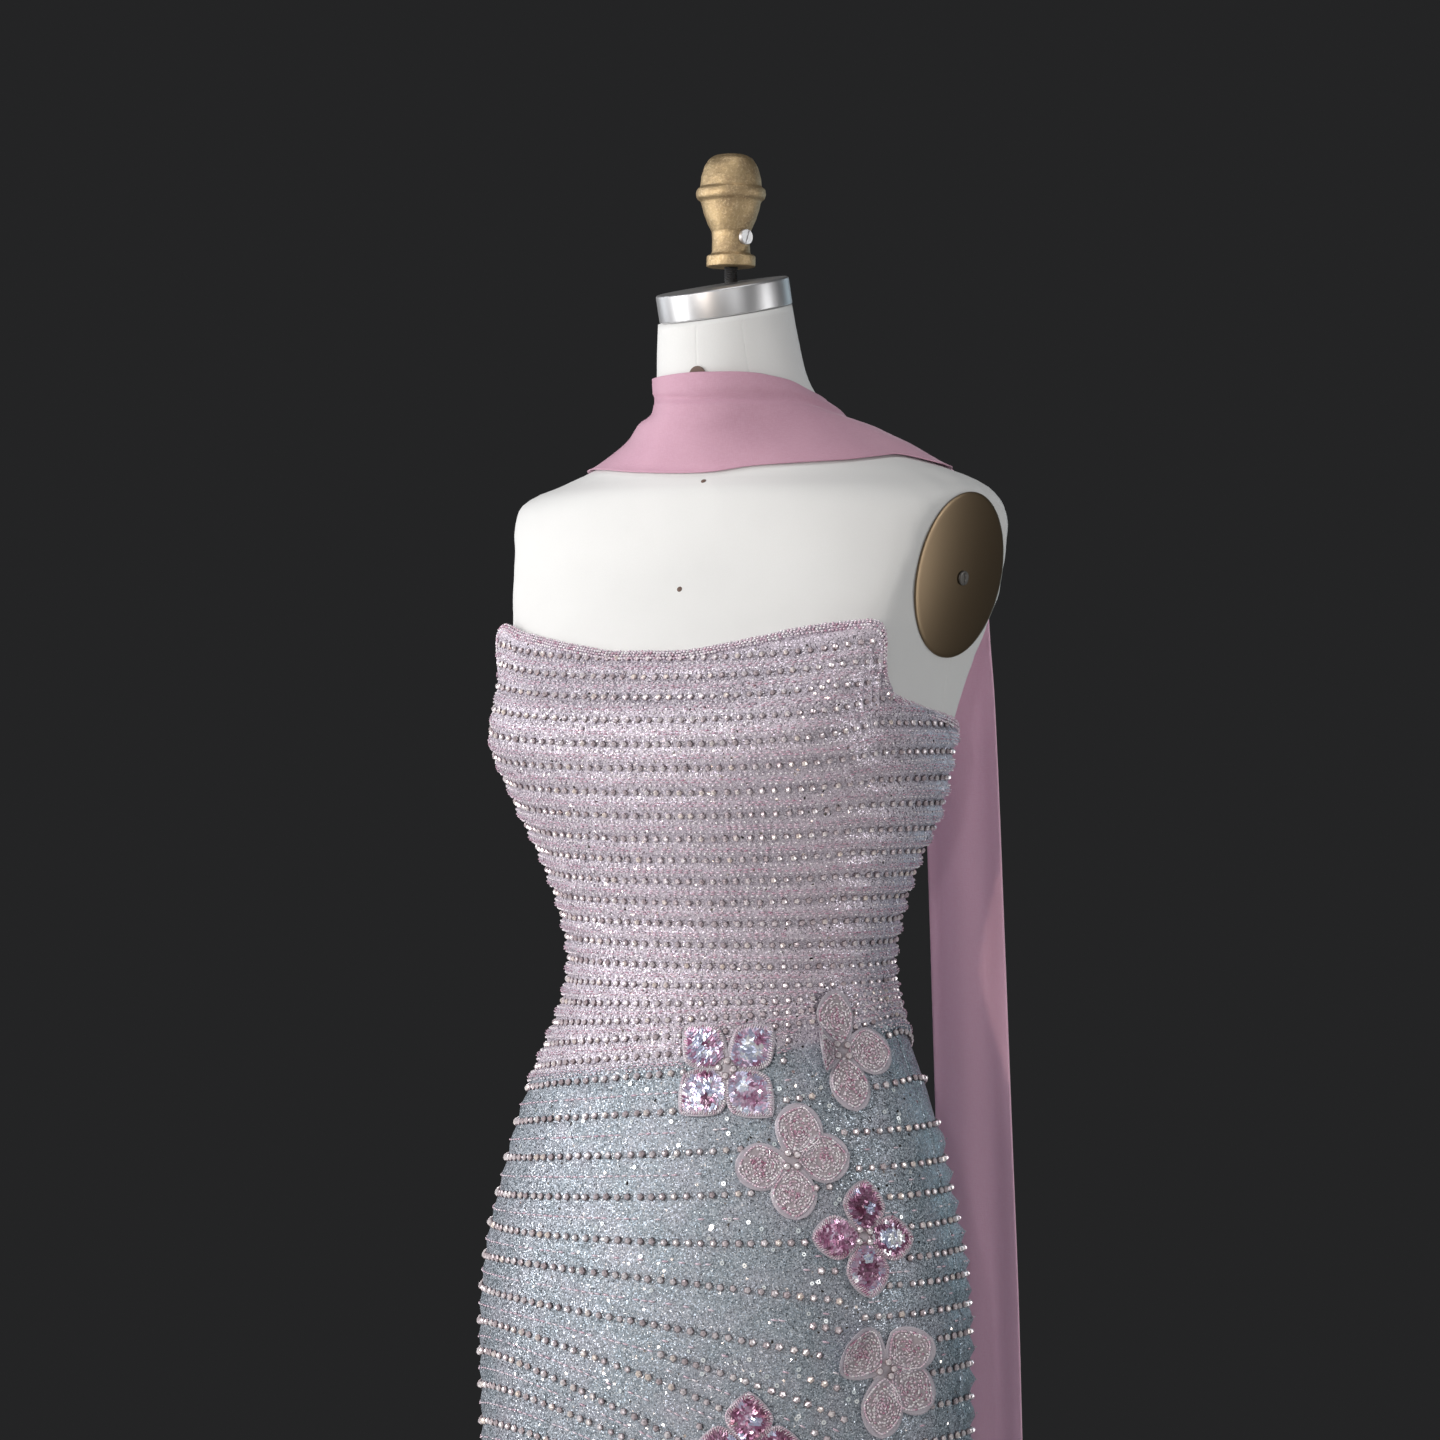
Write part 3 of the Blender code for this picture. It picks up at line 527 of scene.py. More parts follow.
def glitter_tulle(n):
    place = n.place()
    cell, parts = n.flakes(place, settings().glitter)
    bright, kind = parts.out(0), parts.out(1)
    tone, crest, side = n.attribute("tone"), n.attribute("crest"), n.attribute("side")
    large, large_parts = n.flakes(place, LARGE_FLAKE)
    flash = n.span(large_parts.out(2), 0.991, 0.994)
    lilac = n.colours(
        bright, (0.0, (0.245, 0.215, 0.27)), (0.5, (0.465, 0.425, 0.495)), (0.85, (0.66, 0.61, 0.70)),
        (1.0, (0.97, 0.93, 0.97)))
    ice = n.colours(
        bright, (0.0, (0.13, 0.16, 0.19)), (0.5, (0.27, 0.315, 0.365)), (0.85, (0.42, 0.475, 0.545)),
        (1.0, (0.85, 0.90, 0.97)))
    patch = n.noise(place, 38.0)
    colour = n.mix(tone, lilac, ice)
    colour = n.mix(n.span(patch, 0.4, 0.75, 0.0, 0.22), colour, (0.62, 0.52, 0.62))
    # Paler pink-lilac on the bodice's swells between the rows: partly the pink tone near the bead lines, partly
    # a painted highlight on the swells, which leaves painted shade in the row valleys
    colour = n.mix(n.span(crest, 0.2, 1.8, 0.0, 0.42), colour, (0.80, 0.70, 0.80))
    # A painted cyan sheen: the side round to the camera's right is tinted cyan-blue, standing in for a cyan
    # lamp's light there
    colour = n.mix(side * 0.5, colour, n.mix(1.0, colour, (0.66, 0.86, 0.92), "MULTIPLY"))
    return {
        # The rare large flakes are tinted warm peach: painted glint colour, so their flashes look warm; the
        # flashes themselves come from the lamps
        "Base Color": n.mix(n.span(flash, 0.0, 1.0, 0.0, 0.7), colour, (0.95, 0.80, 0.70)),
        "Metallic": n.span(flash, 0.0, 1.0, n.span(kind, 0.5, 0.75, 0.05, 0.8), 1.0),
        "Roughness": n.span(flash, 0.0, 1.0, n.span(kind, 0.0, 1.0, 0.5, 0.24), 0.14),
        "Normal": n.flake_normal(n.mix(flash, cell, large), 0.62),
    }


def lining(n):
    weave = n.noise(n.place(), 900.0, 1.0)
    return grained(n, weave, (0.70, 0.62, 0.66), (0.80, 0.73, 0.76), (0.55, 0.7), (0.0003, 0.4))


def stones(n):
    shade = n.attribute("shade")
    # The palest stones end in warm peach: a painted warm glint on some stones, on top of their own pale pinkish
    # tone
    colour = n.colours(
        shade, (0.0, (0.62, 0.52, 0.55)), (0.4, (0.84, 0.75, 0.79)), (0.8, (0.96, 0.91, 0.94)),
        (1.0, (1.0, 0.87, 0.78)))
    return {
        "Base Color": colour,
        "Metallic": 0.35,
        "Roughness": n.span(shade, 0.0, 1.0, 0.05, 0.12),
        "Coat Weight": 0.8,
        "Coat Roughness": 0.03,
    }


def stone_cups(n):
    shade = n.attribute("shade")
    return grained(n, shade, (0.19, 0.15, 0.16), (0.36, 0.29, 0.30), (0.3, 0.45), ends=(0, 1), Metallic=0.9)


def bead_glass(n):
    shade = n.attribute("shade")
    colour = n.colours(
        shade, (0.0, (0.50, 0.24, 0.35)), (0.3, (0.72, 0.50, 0.61)), (0.6, (0.82, 0.71, 0.80)),
        (1.0, (0.95, 0.93, 0.96)))
    return {
        "Base Color": colour,
        "Metallic": 0.1,
        "Roughness": n.span(shade, 0, 1, 0.14, 0.22),
        "Coat Weight": 0.6,
    }


def form_cover(n):
    knit = n.noise(n.place((1600, 1600, 900)), 1.0, 1.0)
    age = n.noise(n.place(), 9.0, 3.0)
    colour = n.mix(n.span(age, 0.35, 0.7), (0.785, 0.79, 0.79), (0.74, 0.745, 0.745))
    return {
        "Base Color": n.mix(n.span(knit, 0.3, 0.7, 0.0, 0.10), colour, (0.62, 0.61, 0.58)),
        "Roughness": n.span(age, 0.3, 0.7, 0.62, 0.78),
        "Normal": n.bump(knit, 0.0002, 0.35),
    }


def chiffon(n):
    warp = n.noise(n.place((2200, 2200, 260)), 1.0, 0.0)
    weft = n.noise(n.place((300, 300, 2600)), 1.0, 0.0)
    crepe = warp + weft
    patch = n.noise(n.place(), 26.0)
    single = n.attribute("single")
    colour = n.mix(n.span(patch, 0.3, 0.7), (0.515, 0.28, 0.375), (0.57, 0.32, 0.42))
    # The hanging single layer is far paler: partly its own lighter look as one sheer layer, partly painted
    # light, the light that would shine through it from behind
    colour = n.mix(single, colour, (0.93, 0.56, 0.74))
    pale = n.mix(single, (0.64, 0.41, 0.53), (0.97, 0.68, 0.84))
    return {
        "Base Color": n.mix(n.span(crepe, 0.7, 1.3, 0.0, 0.35), colour, pale),
        "Roughness": n.span(crepe, 0.7, 1.3, 0.6, 0.78),
        "Sheen Weight": 0.35,
        "Sheen Roughness": 0.4,
        "Sheen Tint": (1.0, 0.82, 0.90),
        "Normal": n.bump(crepe, 0.00025, 0.4),
    }


def turning_marks(n):
    return n.noise(n.place((60, 60, 5200)), 1.0, 3.0)


def steel(n):
    tints = (0.50, 0.505, 0.52), (0.66, 0.665, 0.68)
    return grained(n, turning_marks(n), *tints, (0.22, 0.42), (0.00008, 0.5), Metallic=1.0)


def dark_steel(n):
    return grained(n, turning_marks(n), (0.10, 0.095, 0.09), (0.20, 0.19, 0.18), (0.35, 0.5), Metallic=0.9)


def old_brass(n):
    place = n.place()
    pits = n.noise(place, 620.0, 3.0, 0.7)
    dirt = n.noise(place, 60.0, 4.0, 0.6)
    colour = n.mix(n.span(dirt, 0.35, 0.68), (0.56, 0.41, 0.225), (0.36, 0.26, 0.15))
    return {
        "Base Color": n.mix(n.span(pits, 0.5, 0.75), colour, (0.74, 0.59, 0.39)),
        "Metallic": 0.85,
        "Roughness": n.span(dirt, 0.3, 0.7, 0.36, 0.55),
        "Normal": n.bump(pits, 0.0008, 0.7),
    }


def bronze(n):
    cloud = n.noise(n.place(), 22.0, 4.0, 0.55)
    lines = n.noise(n.place((900, 900, 60)), 1.0, 2.0)
    return {
        "Base Color": n.mix(n.span(cloud, 0.3, 0.7), (0.50, 0.385, 0.25), (0.38, 0.285, 0.18)),
        "Metallic": 1.0,
        "Roughness": n.span(lines, 0.3, 0.7, 0.30, 0.42),
        "Normal": n.bump(lines, 0.00005, 0.3),
    }


def black_metal(n):
    grain = n.noise(n.place(), 700.0)
    tints = (0.018, 0.018, 0.02), (0.04, 0.04, 0.042)
    return grained(n, grain, *tints, (0.42, 0.6), (0.0002, 0.3), Metallic=0.3)


def brown_disc(n):
    felt = n.noise(n.place(), 1500.0, 3.0)
    return grained(n, felt, (0.10, 0.062, 0.05), (0.19, 0.125, 0.10), (0.55, 0.8), (0.0004, 0.5))


def organza(n):
    weave = n.noise(n.place(), 1300.0, 1.0)
    worked = n.attribute("worked")
    margin = n.mix(weave, (0.54, 0.49, 0.56), (0.70, 0.65, 0.73))
    return {
        "Base Color": n.mix(worked, margin, n.mix(weave, (0.36, 0.31, 0.345), (0.52, 0.46, 0.50))),
        "Roughness": n.span(weave, 0.3, 0.7, 0.3, 0.5),
        "Alpha": n.span(worked, 0.0, 1.0, 0.72, 1.0),
        "Coat Weight": 0.3,
        "Normal": n.bump(weave, 0.0002, 0.4),
    }


def sequin_film(n):
    film = n.noise(n.place(), 160.0, 1.0)
    colour = n.colours(
        n.attribute("shade"), (0.0, (0.15, 0.045, 0.09)), (0.3, (0.42, 0.16, 0.31)), (0.5, (0.60, 0.43, 0.57)),
        (0.7, (0.46, 0.50, 0.72)), (0.88, (0.70, 0.78, 0.95)), (1.0, (0.97, 0.98, 1.0)))
    return {
        "Base Color": n.mix(n.span(film, 0.4, 0.65, 0.0, 0.12), colour, (0.80, 0.74, 0.92)),
        "Metallic": 0.35,
        "Roughness": n.span(film, 0.3, 0.7, 0.12, 0.26),
        "Coat Weight": 0.5,
    }


def ring_film(n):
    values = grained(n, n.attribute("shade"), (0.62, 0.86, 0.95), (0.95, 0.98, 1.0), (0.1, 0.2), ends=(0, 1))
    return values | {"Metallic": 0.25, "Coat Weight": 0.6}


def floor(n):
    grain = n.noise(n.place(), 3.0, 3.0)
    return {"Base Color": n.mix(grain, tuple(settings().floor_colour), (0.68, 0.68, 0.67)), "Roughness": 0.7}


# ---- meshes
def ridden(name, mesh, slot):
    """An object in place, riding on the frame."""
    thing = bpy.data.objects.new(name, mesh)
    bpy.context.scene.collection.objects.link(thing)
    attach(thing, "root")
    return thing


def piece(name, points, faces, materials, slot, smooth=True, picks=None, attributes=None):
    """A piece from points in millimetres; picks says which material each face has."""
    mesh = bpy.data.meshes.new(name)
    mesh.from_pydata((np.asarray(points, float) * MM).tolist(), [], [tuple(map(int, f)) for f in faces])
    mesh.update()
    mesh.polygons.foreach_set("use_smooth", np.full(len(mesh.polygons), smooth))
    for m in materials:
        mesh.materials.append(m)
    if picks is not None:
        mesh.polygons.foreach_set("material_index", np.asarray(picks, np.int32))
    for key, values in (attributes or {}).items():
        attribute = mesh.attributes.new(key, "FLOAT", "POINT")
        attribute.data.foreach_set("value", np.asarray(values, np.float32).ravel())
    return ridden(name, mesh, slot)


def grid_quads(rows, cols, around=False, first=0):
    """Quads of a grid, rows down and columns anticlockwise from above, facing out."""
    r, c = np.meshgrid(np.arange(rows - 1), np.arange(cols if around else cols - 1), indexing="ij")
    d = (c + 1) % cols
    quads = np.stack([r * cols + c, (r + 1) * cols + c, (r + 1) * cols + d, r * cols + d], -1)
    return quads.reshape(-1, 4) + first


def shell(outer, inner, around=False):
    """A closed thin wall between two grids of points: points, faces, and which faces are inside."""
    rows, cols = outer.shape[:2]
    count = rows * cols
    out = grid_quads(rows, cols, around)
    into = grid_quads(rows, cols, around, count)[:, ::-1]
    c = np.arange(cols if around else cols - 1)
    d = (c + 1) % cols
    low = (rows - 1) * cols
    rims = [
        np.stack([c, d, d + count, c + count], 1),
        np.stack([low + d, low + c, low + c + count, low + d + count], 1),
    ]
    if not around:
        r = np.arange(rows - 1) * cols
        rims.append(np.stack([r + cols, r, r + count, r + cols + count], 1))
        r = r + cols - 1
        rims.append(np.stack([r, r + cols, r + cols + count, r + count], 1))
    points = np.concatenate([outer.reshape(-1, 3), inner.reshape(-1, 3)])
    inside = np.repeat([0, 1, 0], [len(out), len(into), sum(map(len, rims))])
    return points, np.concatenate([out, into, *rims]), inside


def turned(profile, sides, shape=None):
    """A solid turned about a vertical axis from (radius, height) pairs, bottom first.
    shape(points, turn, height) may move the points afterwards."""
    turn = np.arange(sides) * 2 * math.pi / sides
    radius, height = np.asarray(profile, float).T[:, :, None]
    points = np.stack([radius * np.cos(turn), radius * np.sin(turn), height + 0 * turn], -1)
    if shape is not None:
        points = shape(points, turn[None], height)
    rows = len(profile)
    faces = [f[::-1] for f in grid_quads(rows, sides, True).tolist()]
    low, high = rows * sides, rows * sides + 1
    for c in range(sides):
        d = (c + 1) % sides
        faces += [(low, d, c), (high, (rows - 1) * sides + c, (rows - 1) * sides + d)]
    points = np.concatenate([points.reshape(-1, 3), [points[0].mean(0)], [points[-1].mean(0)]])
    return points, faces


def placed(points, at, x_axis, z_axis):
    """Points about the origin, moved to a place and turned to two axes."""
    z = np.array(z_axis, float) / np.linalg.norm(z_axis)
    x = np.array(x_axis, float) - z * (z @ np.array(x_axis, float))
    x /= np.linalg.norm(x)
    return np.array(at) + points @ np.array([x, np.cross(z, x), z])


def joined(parts):
    """One mesh from several pairs of points and faces."""
    points, faces, first = [], [], 0
    for own, its_faces in parts:
        faces += [tuple(first + i for i in face) for face in its_faces]
        points.append(own)
        first += len(own)
    return np.concatenate(points), faces


def softened(profile, radius, steps=4):
    """A turned profile with its corners rounded."""
    profile = [np.array(p, float) for p in profile]
    out = [profile[0]]
    for a, b, c in zip(profile, profile[1:], profile[2:]):
        back, on = a - b, c - b
        cut = min(radius, 0.45 * np.linalg.norm(back), 0.45 * np.linalg.norm(on))
        p, q = b + back / np.linalg.norm(back) * cut, b + on / np.linalg.norm(on) * cut
        out += [(1 - t) ** 2 * p + 2 * t * (1 - t) * b + t * t * q for t in np.linspace(0, 1, steps)]
    return np.array(out + [profile[-1]])


# ---- small pieces that repeat
WELD = 0.00002  # corners of a small piece that are this near, in metres, become one
# Bands of facets: radius below and above as shares of the width, heights as shares of the height.
CUP_BANDS = ((0.36, 0.5, -0.15, 0.38), (0.5, 0.41, 0.38, 0.48))
STONE_BANDS = ((0.41, 0.34, 0.48, 0.74), (0.34, 0.15, 0.74, 1.0))
STONE_TABLE = 0.15
BEAD_END = 0.30  # radius of a bead's end as a share of its width


def small_tree(name, sizes, sides, materials):
    """A geometry tree and its inputs: sizes in millimetres, a number of sides, and materials."""
    tree = bpy.data.node_groups.new(name, "GeometryNodeTree")
    face = tree.interface
    face.new_socket("Geometry", in_out="INPUT", socket_type="NodeSocketGeometry")
    for key, value in sizes.items():
        face.new_socket(key, in_out="INPUT", socket_type="NodeSocketFloat").default_value = value * MM
    face.new_socket("Sides", in_out="INPUT", socket_type="NodeSocketInt").default_value = sides
    for key in materials:
        face.new_socket(key, in_out="INPUT", socket_type="NodeSocketMaterial")
    face.new_socket("Geometry", in_out="OUTPUT", socket_type="NodeSocketGeometry")
    n = Nodes(tree)
    given = n.add("NodeGroupInput")
    return n, given, *(given.out(key) for key in (*sizes, "Sides"))


def set_on_points(n, given, stamp, smooth):
    """Instances of the stamp on the points, turned by their attributes, made real."""
    def named(name, kind):
        return n.add("GeometryNodeInputNamedAttribute", {"data_type": kind}, {"Name": name})

    align = "FunctionNodeAlignRotationToVector"
    turn = n.add(align, {"axis": "Z"}, {"Vector": named("outward", "FLOAT_VECTOR")})
    turn = n.add(align, {"axis": "X", "pivot_axis": "Z"}, {
        "Rotation": turn, "Vector": named("onward", "FLOAT_VECTOR")})
    set_out = n.add("GeometryNodeInstanceOnPoints", None, {
        "Points": given.out("Geometry"), "Instance": stamp, "Rotation": turn, "Scale": named("size", "FLOAT")})
    real = n.add("GeometryNodeRealizeInstances", None, {"Geometry": set_out})
    return n.add("GeometryNodeSetShadeSmooth", None, {"Geometry": real, "Shade Smooth": smooth})


def stones_tree(width, height, sides):
    """Geometry nodes that set a faceted stone in its cup on every point."""
    n, given, wide, high, side = small_tree(
        "Stones in cups", {"Width": width, "Height": height}, sides, ("Cup", "Stone"))

    def band(low, top, start, end):
        return n.moved(n.cone(side, wide * low, wide * top, high * (end - start)), high * start)

    def marked(shape, clear):
        return n.add("GeometryNodeStoreNamedAttribute", {"data_type": "BOOLEAN", "domain": "FACE"}, {
            "Geometry": shape, "Name": "clear", "Value": clear})

    cups = [band(*b) for b in CUP_BANDS]
    facets = [band(*b) for b in STONE_BANDS]
    clear = marked(n.join(*facets, n.moved(n.disc(side, wide * STONE_TABLE), high)), True)
    dark = marked(n.join(*cups), False)
    stamp = n.add("GeometryNodeMergeByDistance", None, {"Geometry": n.join(dark, clear), "Distance": WELD})
    result = n.painted(set_on_points(n, given, stamp, False), given.out("Cup"))
    is_clear = n.add("GeometryNodeInputNamedAttribute", {"data_type": "BOOLEAN"}, {"Name": "clear"})
    n.add("NodeGroupOutput", None, {"Geometry": n.painted(result, given.out("Stone"), is_clear)})
    return n.tree


def beads_tree(length, width, sides):
    """Geometry nodes that lay a bead of the given length and width along every point's line."""
    n, given, long, wide, side = small_tree(
        "Beads on a thread", {"Length": length, "Width": width}, sides, ("Glass",))
    halves = []
    for turn in (0, math.pi):
        cone = n.cone(side, wide * 0.5, wide * BEAD_END, long * 0.5)
        end = n.moved(n.disc(side, wide * BEAD_END), long * 0.5)
        halves.append(n.moved(n.join(cone, end), turn=(turn, 0, 0)))
    whole = n.add("GeometryNodeMergeByDistance", None, {"Geometry": n.join(*halves[::-1]), "Distance": WELD})
    result = set_on_points(n, given, n.moved(whole, turn=(0, math.pi / 2, 0)), True)
    n.add("NodeGroupOutput", None, {"Geometry": n.painted(result, given.out("Glass"))})
    return n.tree


def rings_tree(width, hole, thick, sides):
    """Geometry nodes that lay a ring sequin on every point."""
    n, given, wide, gap, high, side = small_tree(
        "Ring sequins", {"Width": width, "Hole": hole, "Thickness": thick}, sides, ("Film",))
    path = n.add("GeometryNodeCurvePrimitiveCircle", {"mode": "RADIUS"}, {
        "Resolution": side, "Radius": (wide + gap) * 0.25})
    rim = n.add("GeometryNodeCurvePrimitiveQuadrilateral", {"mode": "RECTANGLE"}, {
        "Width": (wide - gap) * 0.5, "Height": high})
    ring = n.add("GeometryNodeCurveToMesh", None, {"Curve": path, "Profile Curve": rim})
    n.add("NodeGroupOutput", None, {
        "Geometry": n.painted(set_on_points(n, given, ring, False), given.out("Film"))})
    return n.tree


def sown(name, places, tree, values, slot):
    """A plain mesh of small pieces: points (place, outward, onward, size, shade) run through a tree."""
    where, *rest = places
    mesh = bpy.data.meshes.new(name)
    mesh.vertices.add(len(where))
    mesh.vertices.foreach_set("co", (np.asarray(where) * MM).astype(np.float32).ravel())
    kinds = (("outward", "FLOAT_VECTOR"), ("onward", "FLOAT_VECTOR"), ("size", "FLOAT"), ("shade", "FLOAT"))
    for (key, kind), data in zip(kinds, rest):
        field = "vector" if kind == "FLOAT_VECTOR" else "value"
        mesh.attributes.new(key, kind, "POINT").data.foreach_set(field, np.asarray(data, np.float32).ravel())
    cloud = bpy.data.objects.new(name + "_points", mesh)
    bpy.context.scene.collection.objects.link(cloud)
    modifier = cloud.modifiers.new("Set", "NODES")
    modifier.node_group = tree
    for item in tree.interface.items_tree:
        if item.in_out == "INPUT" and item.name in values:
            modifier[item.identifier] = values[item.name]
    bpy.context.view_layer.update()
    made = bpy.data.meshes.new_from_object(cloud.evaluated_get(bpy.context.evaluated_depsgraph_get()))
    for key in ("outward", "onward", "size", "clear"):
        if key in made.attributes:
            made.attributes.remove(made.attributes[key])
    bpy.data.objects.remove(cloud)
    if not len(made.polygons):
        raise RuntimeError(name + ": the tree made nothing")
    made.name = name
    return ridden(name, made, slot)


def merged(parts):
    return [np.concatenate(p) for p in parts]


def tinted(middle, spread):
    """Bead colours scattered about a middle one."""
    return lambda rng, count: np.clip(rng.normal(middle, spread, count), 0, 1)


def gather(lines, pitch, out, rng, shade, size=(0.95, 1.05), jitter=0.12, skip=0.0):
    """Places for beads along lines, and their angles; shade(rng, count) gives their colours."""
    parts = [[], [], [], [], []]
    angles = []
    for turn, z in lines:
        start = rng.uniform(0.2, 0.8) * pitch
        points, n, on, a, h = strung(turn, z, pitch, start, out(turn) if callable(out) else out)
        count = len(points)
        if not count:
            continue
        on = unit(on)
        points = points + on * rng.normal(0, jitter * pitch * 0.5, count)[:, None]
        points[:, 2] += rng.normal(0, jitter, count)
        kept = (rng.random(count) >= (skip(a) if callable(skip) else skip)) & ~covered(a, h, 1.5)
        for part, value in zip(parts, (points, n, on, rng.uniform(*size, count), shade(rng, count))):
            part.append(value[kept])
        angles.append(a[kept])
    return merged(parts), np.concatenate(angles)


# ---- sizes and colours that a user would change
class GownSettings(bpy.types.PropertyGroup):
    glitter: FloatProperty(
        name="Glitter", description="Width of one glitter flake in the tulle", default=0.00075, unit="LENGTH")
    stone_width: FloatProperty(
        name="Stone width", description="Width of a stone with its cup", default=5.3, min=2, max=8)
    stone_height: FloatProperty(
        name="Stone height", description="Height of a stone over the cloth", default=3.3, min=1, max=5)
    stone_sides: IntProperty(name="Stone facets", description="Facets round a stone", default=5, min=5, max=10)
    bodice_pitch: FloatProperty(
        name="Bodice pitch", description="From stone to stone along a bodice row", default=8.5, min=5, max=20)
    skirt_pitch: FloatProperty(
        name="Skirt pitch", description="From stone to stone along a skirt row", default=8.9, min=5, max=20)
    seed: IntProperty(name="Seed", description="Seed of everything sewn by hand", default=7, min=0)
    floor_colour: FloatVectorProperty(
        name="Floor", description="Colour of the floor", default=(0.72, 0.72, 0.71), subtype="COLOR",
        min=0, max=1)
    light: FloatProperty(name="Light", description="Strength of the studio lights", default=1.0, min=0, max=5)


# ---- the panels
PANELS = {"gown_front": (-90, 90), "gown_back_left": (90, 180), "gown_back_right": (-180, -90)}
COLUMN_STEP, COLUMN_GAP, ROW_STEP = 3.0, 1.2, 3.2  # of the panels' mesh: two in degrees, one in millimetres
SEAM_GAP = 0.18  # half the gap between two panels
TINT_EDGE = 8.0  # how far above the parting row the colour changes


def levels(top, cols):
    """Rows of heights for the gown, close where it is pleated by its beads."""
    fine = np.arange(1300, 1100, -ROW_STEP)
    rows = [level + k * (top - 1300) for level, k in zip(fine, np.interp(fine, KEEP[:, 0], KEEP[:, 1]))]
    even = np.concatenate([np.arange(1098, 1000, -ROW_STEP), np.linspace(1000, 28, 146)])
    rows += [np.full(cols, z) for z in even]
    return np.array(rows)


class GOWN_OT_cloth(bpy.types.Operator):
    """Cut and sew the gown's three panels"""

    bl_idname = "gown.cloth"
    bl_label = "Gown panels"

    def execute(self, context):
        for name, (first, last) in PANELS.items():
            corners = [c for c in CORNERS if first < c < last]
            plain = np.arange(first, last + 0.1, COLUMN_STEP)
            plain = [c for c in plain if all(abs(c - corner) > COLUMN_GAP for corner in corners)]
            columns = np.unique(np.concatenate([plain, corners]))
            z = levels(neckline(columns), len(columns))
            angle = np.broadcast_to(columns, z.shape)
            out, crest = cloth_out(angle, z, row_phase(angle, z))
            outer, inner = gown_point(angle, z, out), gown_point(angle, z, LINING_OUT)
            for grid in (outer, inner):
                for end, step in ((0, 1), (-1, -2)):
                    grid[:, end] += SEAM_GAP * unit(grid[:, step] - grid[:, end])
            points, faces, picks = shell(outer, inner)
            edge = row_height(ROW_HEIGHTS[LAST_BODICE], angle, angle > CASCADE[1]) + TINT_EDGE
            tone = 1 / (1 + np.exp((z - edge) / 1.2))
            # side marks the part round to the camera's right that gets a painted cyan sheen in the cloth's
            # colour
            side = between(angle, 62, 92) * between(angle, 150, 120)
            # crest carries the swell's height into the cloth, where it sets a pale tint that is partly a
            # painted highlight on the bodice's swells
            looks = {"tone": tone, "crest": crest * (1 - tone), "side": side}
            thing = piece(
                name + "_cloth", points, faces, [finish(glitter_tulle), finish(lining)], "beaded_tulle",
                picks=picks, attributes={key: np.tile(values.ravel(), 2) for key, values in looks.items()})
            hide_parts(name)
        return {"FINISHED"}


# ---- the stones and beads of the rows
STONE_OUT, BEAD_OUT = 2.45, 2.8
# Gaps between rows, in usual ones, from which there is one line of stones more in between, or three.
ONE_MORE, THREE_MORE = 1.6, 3.0
CLOSE_ROWS, FRONT_ONLY = 1.4, 60  # wider gaps than this have lines of beads only within this angle of the front
SKIRT = range(LAST_BODICE, len(ROW_HEIGHTS) - 1)


class GOWN_OT_stones(bpy.types.Operator):
    """Set the rows of stones in their cups"""

    bl_idname = "gown.stones"
    bl_label = "Rows of stones"

    def execute(self, context):
        s = settings()
        rng = np.random.default_rng(s.seed)

        def worked(share, gap, turn):
            return gap > {0.0: -np.inf, 0.5: ONE_MORE}.get(share, THREE_MORE)

        def shade(rng, count):
            return rng.random(count)

        bodice = strands(range(LAST_BODICE), (0.0,), worked)
        skirt = strands(SKIRT, (0.0, 0.5, 0.25, 0.75), worked)
        sets = [
            gather(bodice, s.bodice_pitch, STONE_OUT, rng, shade, (0.86, 1.0), 0.1),
            gather(skirt, s.skirt_pitch, STONE_OUT, rng, shade, (1.0, 1.14), 0.12),
        ]
        tree = stones_tree(s.stone_width, s.stone_height, s.stone_sides)
        values = {"Cup": finish(stone_cups), "Stone": finish(stones)}
        for name, front in (("stones_front", True), ("stones_back", False)):
            chosen = [[part[(np.abs(angles) <= 90) == front] for part in places] for places, angles in sets]
            sown(name, merged(zip(*chosen)), tree, values, "beaded_tulle")
        return {"FINISHED"}


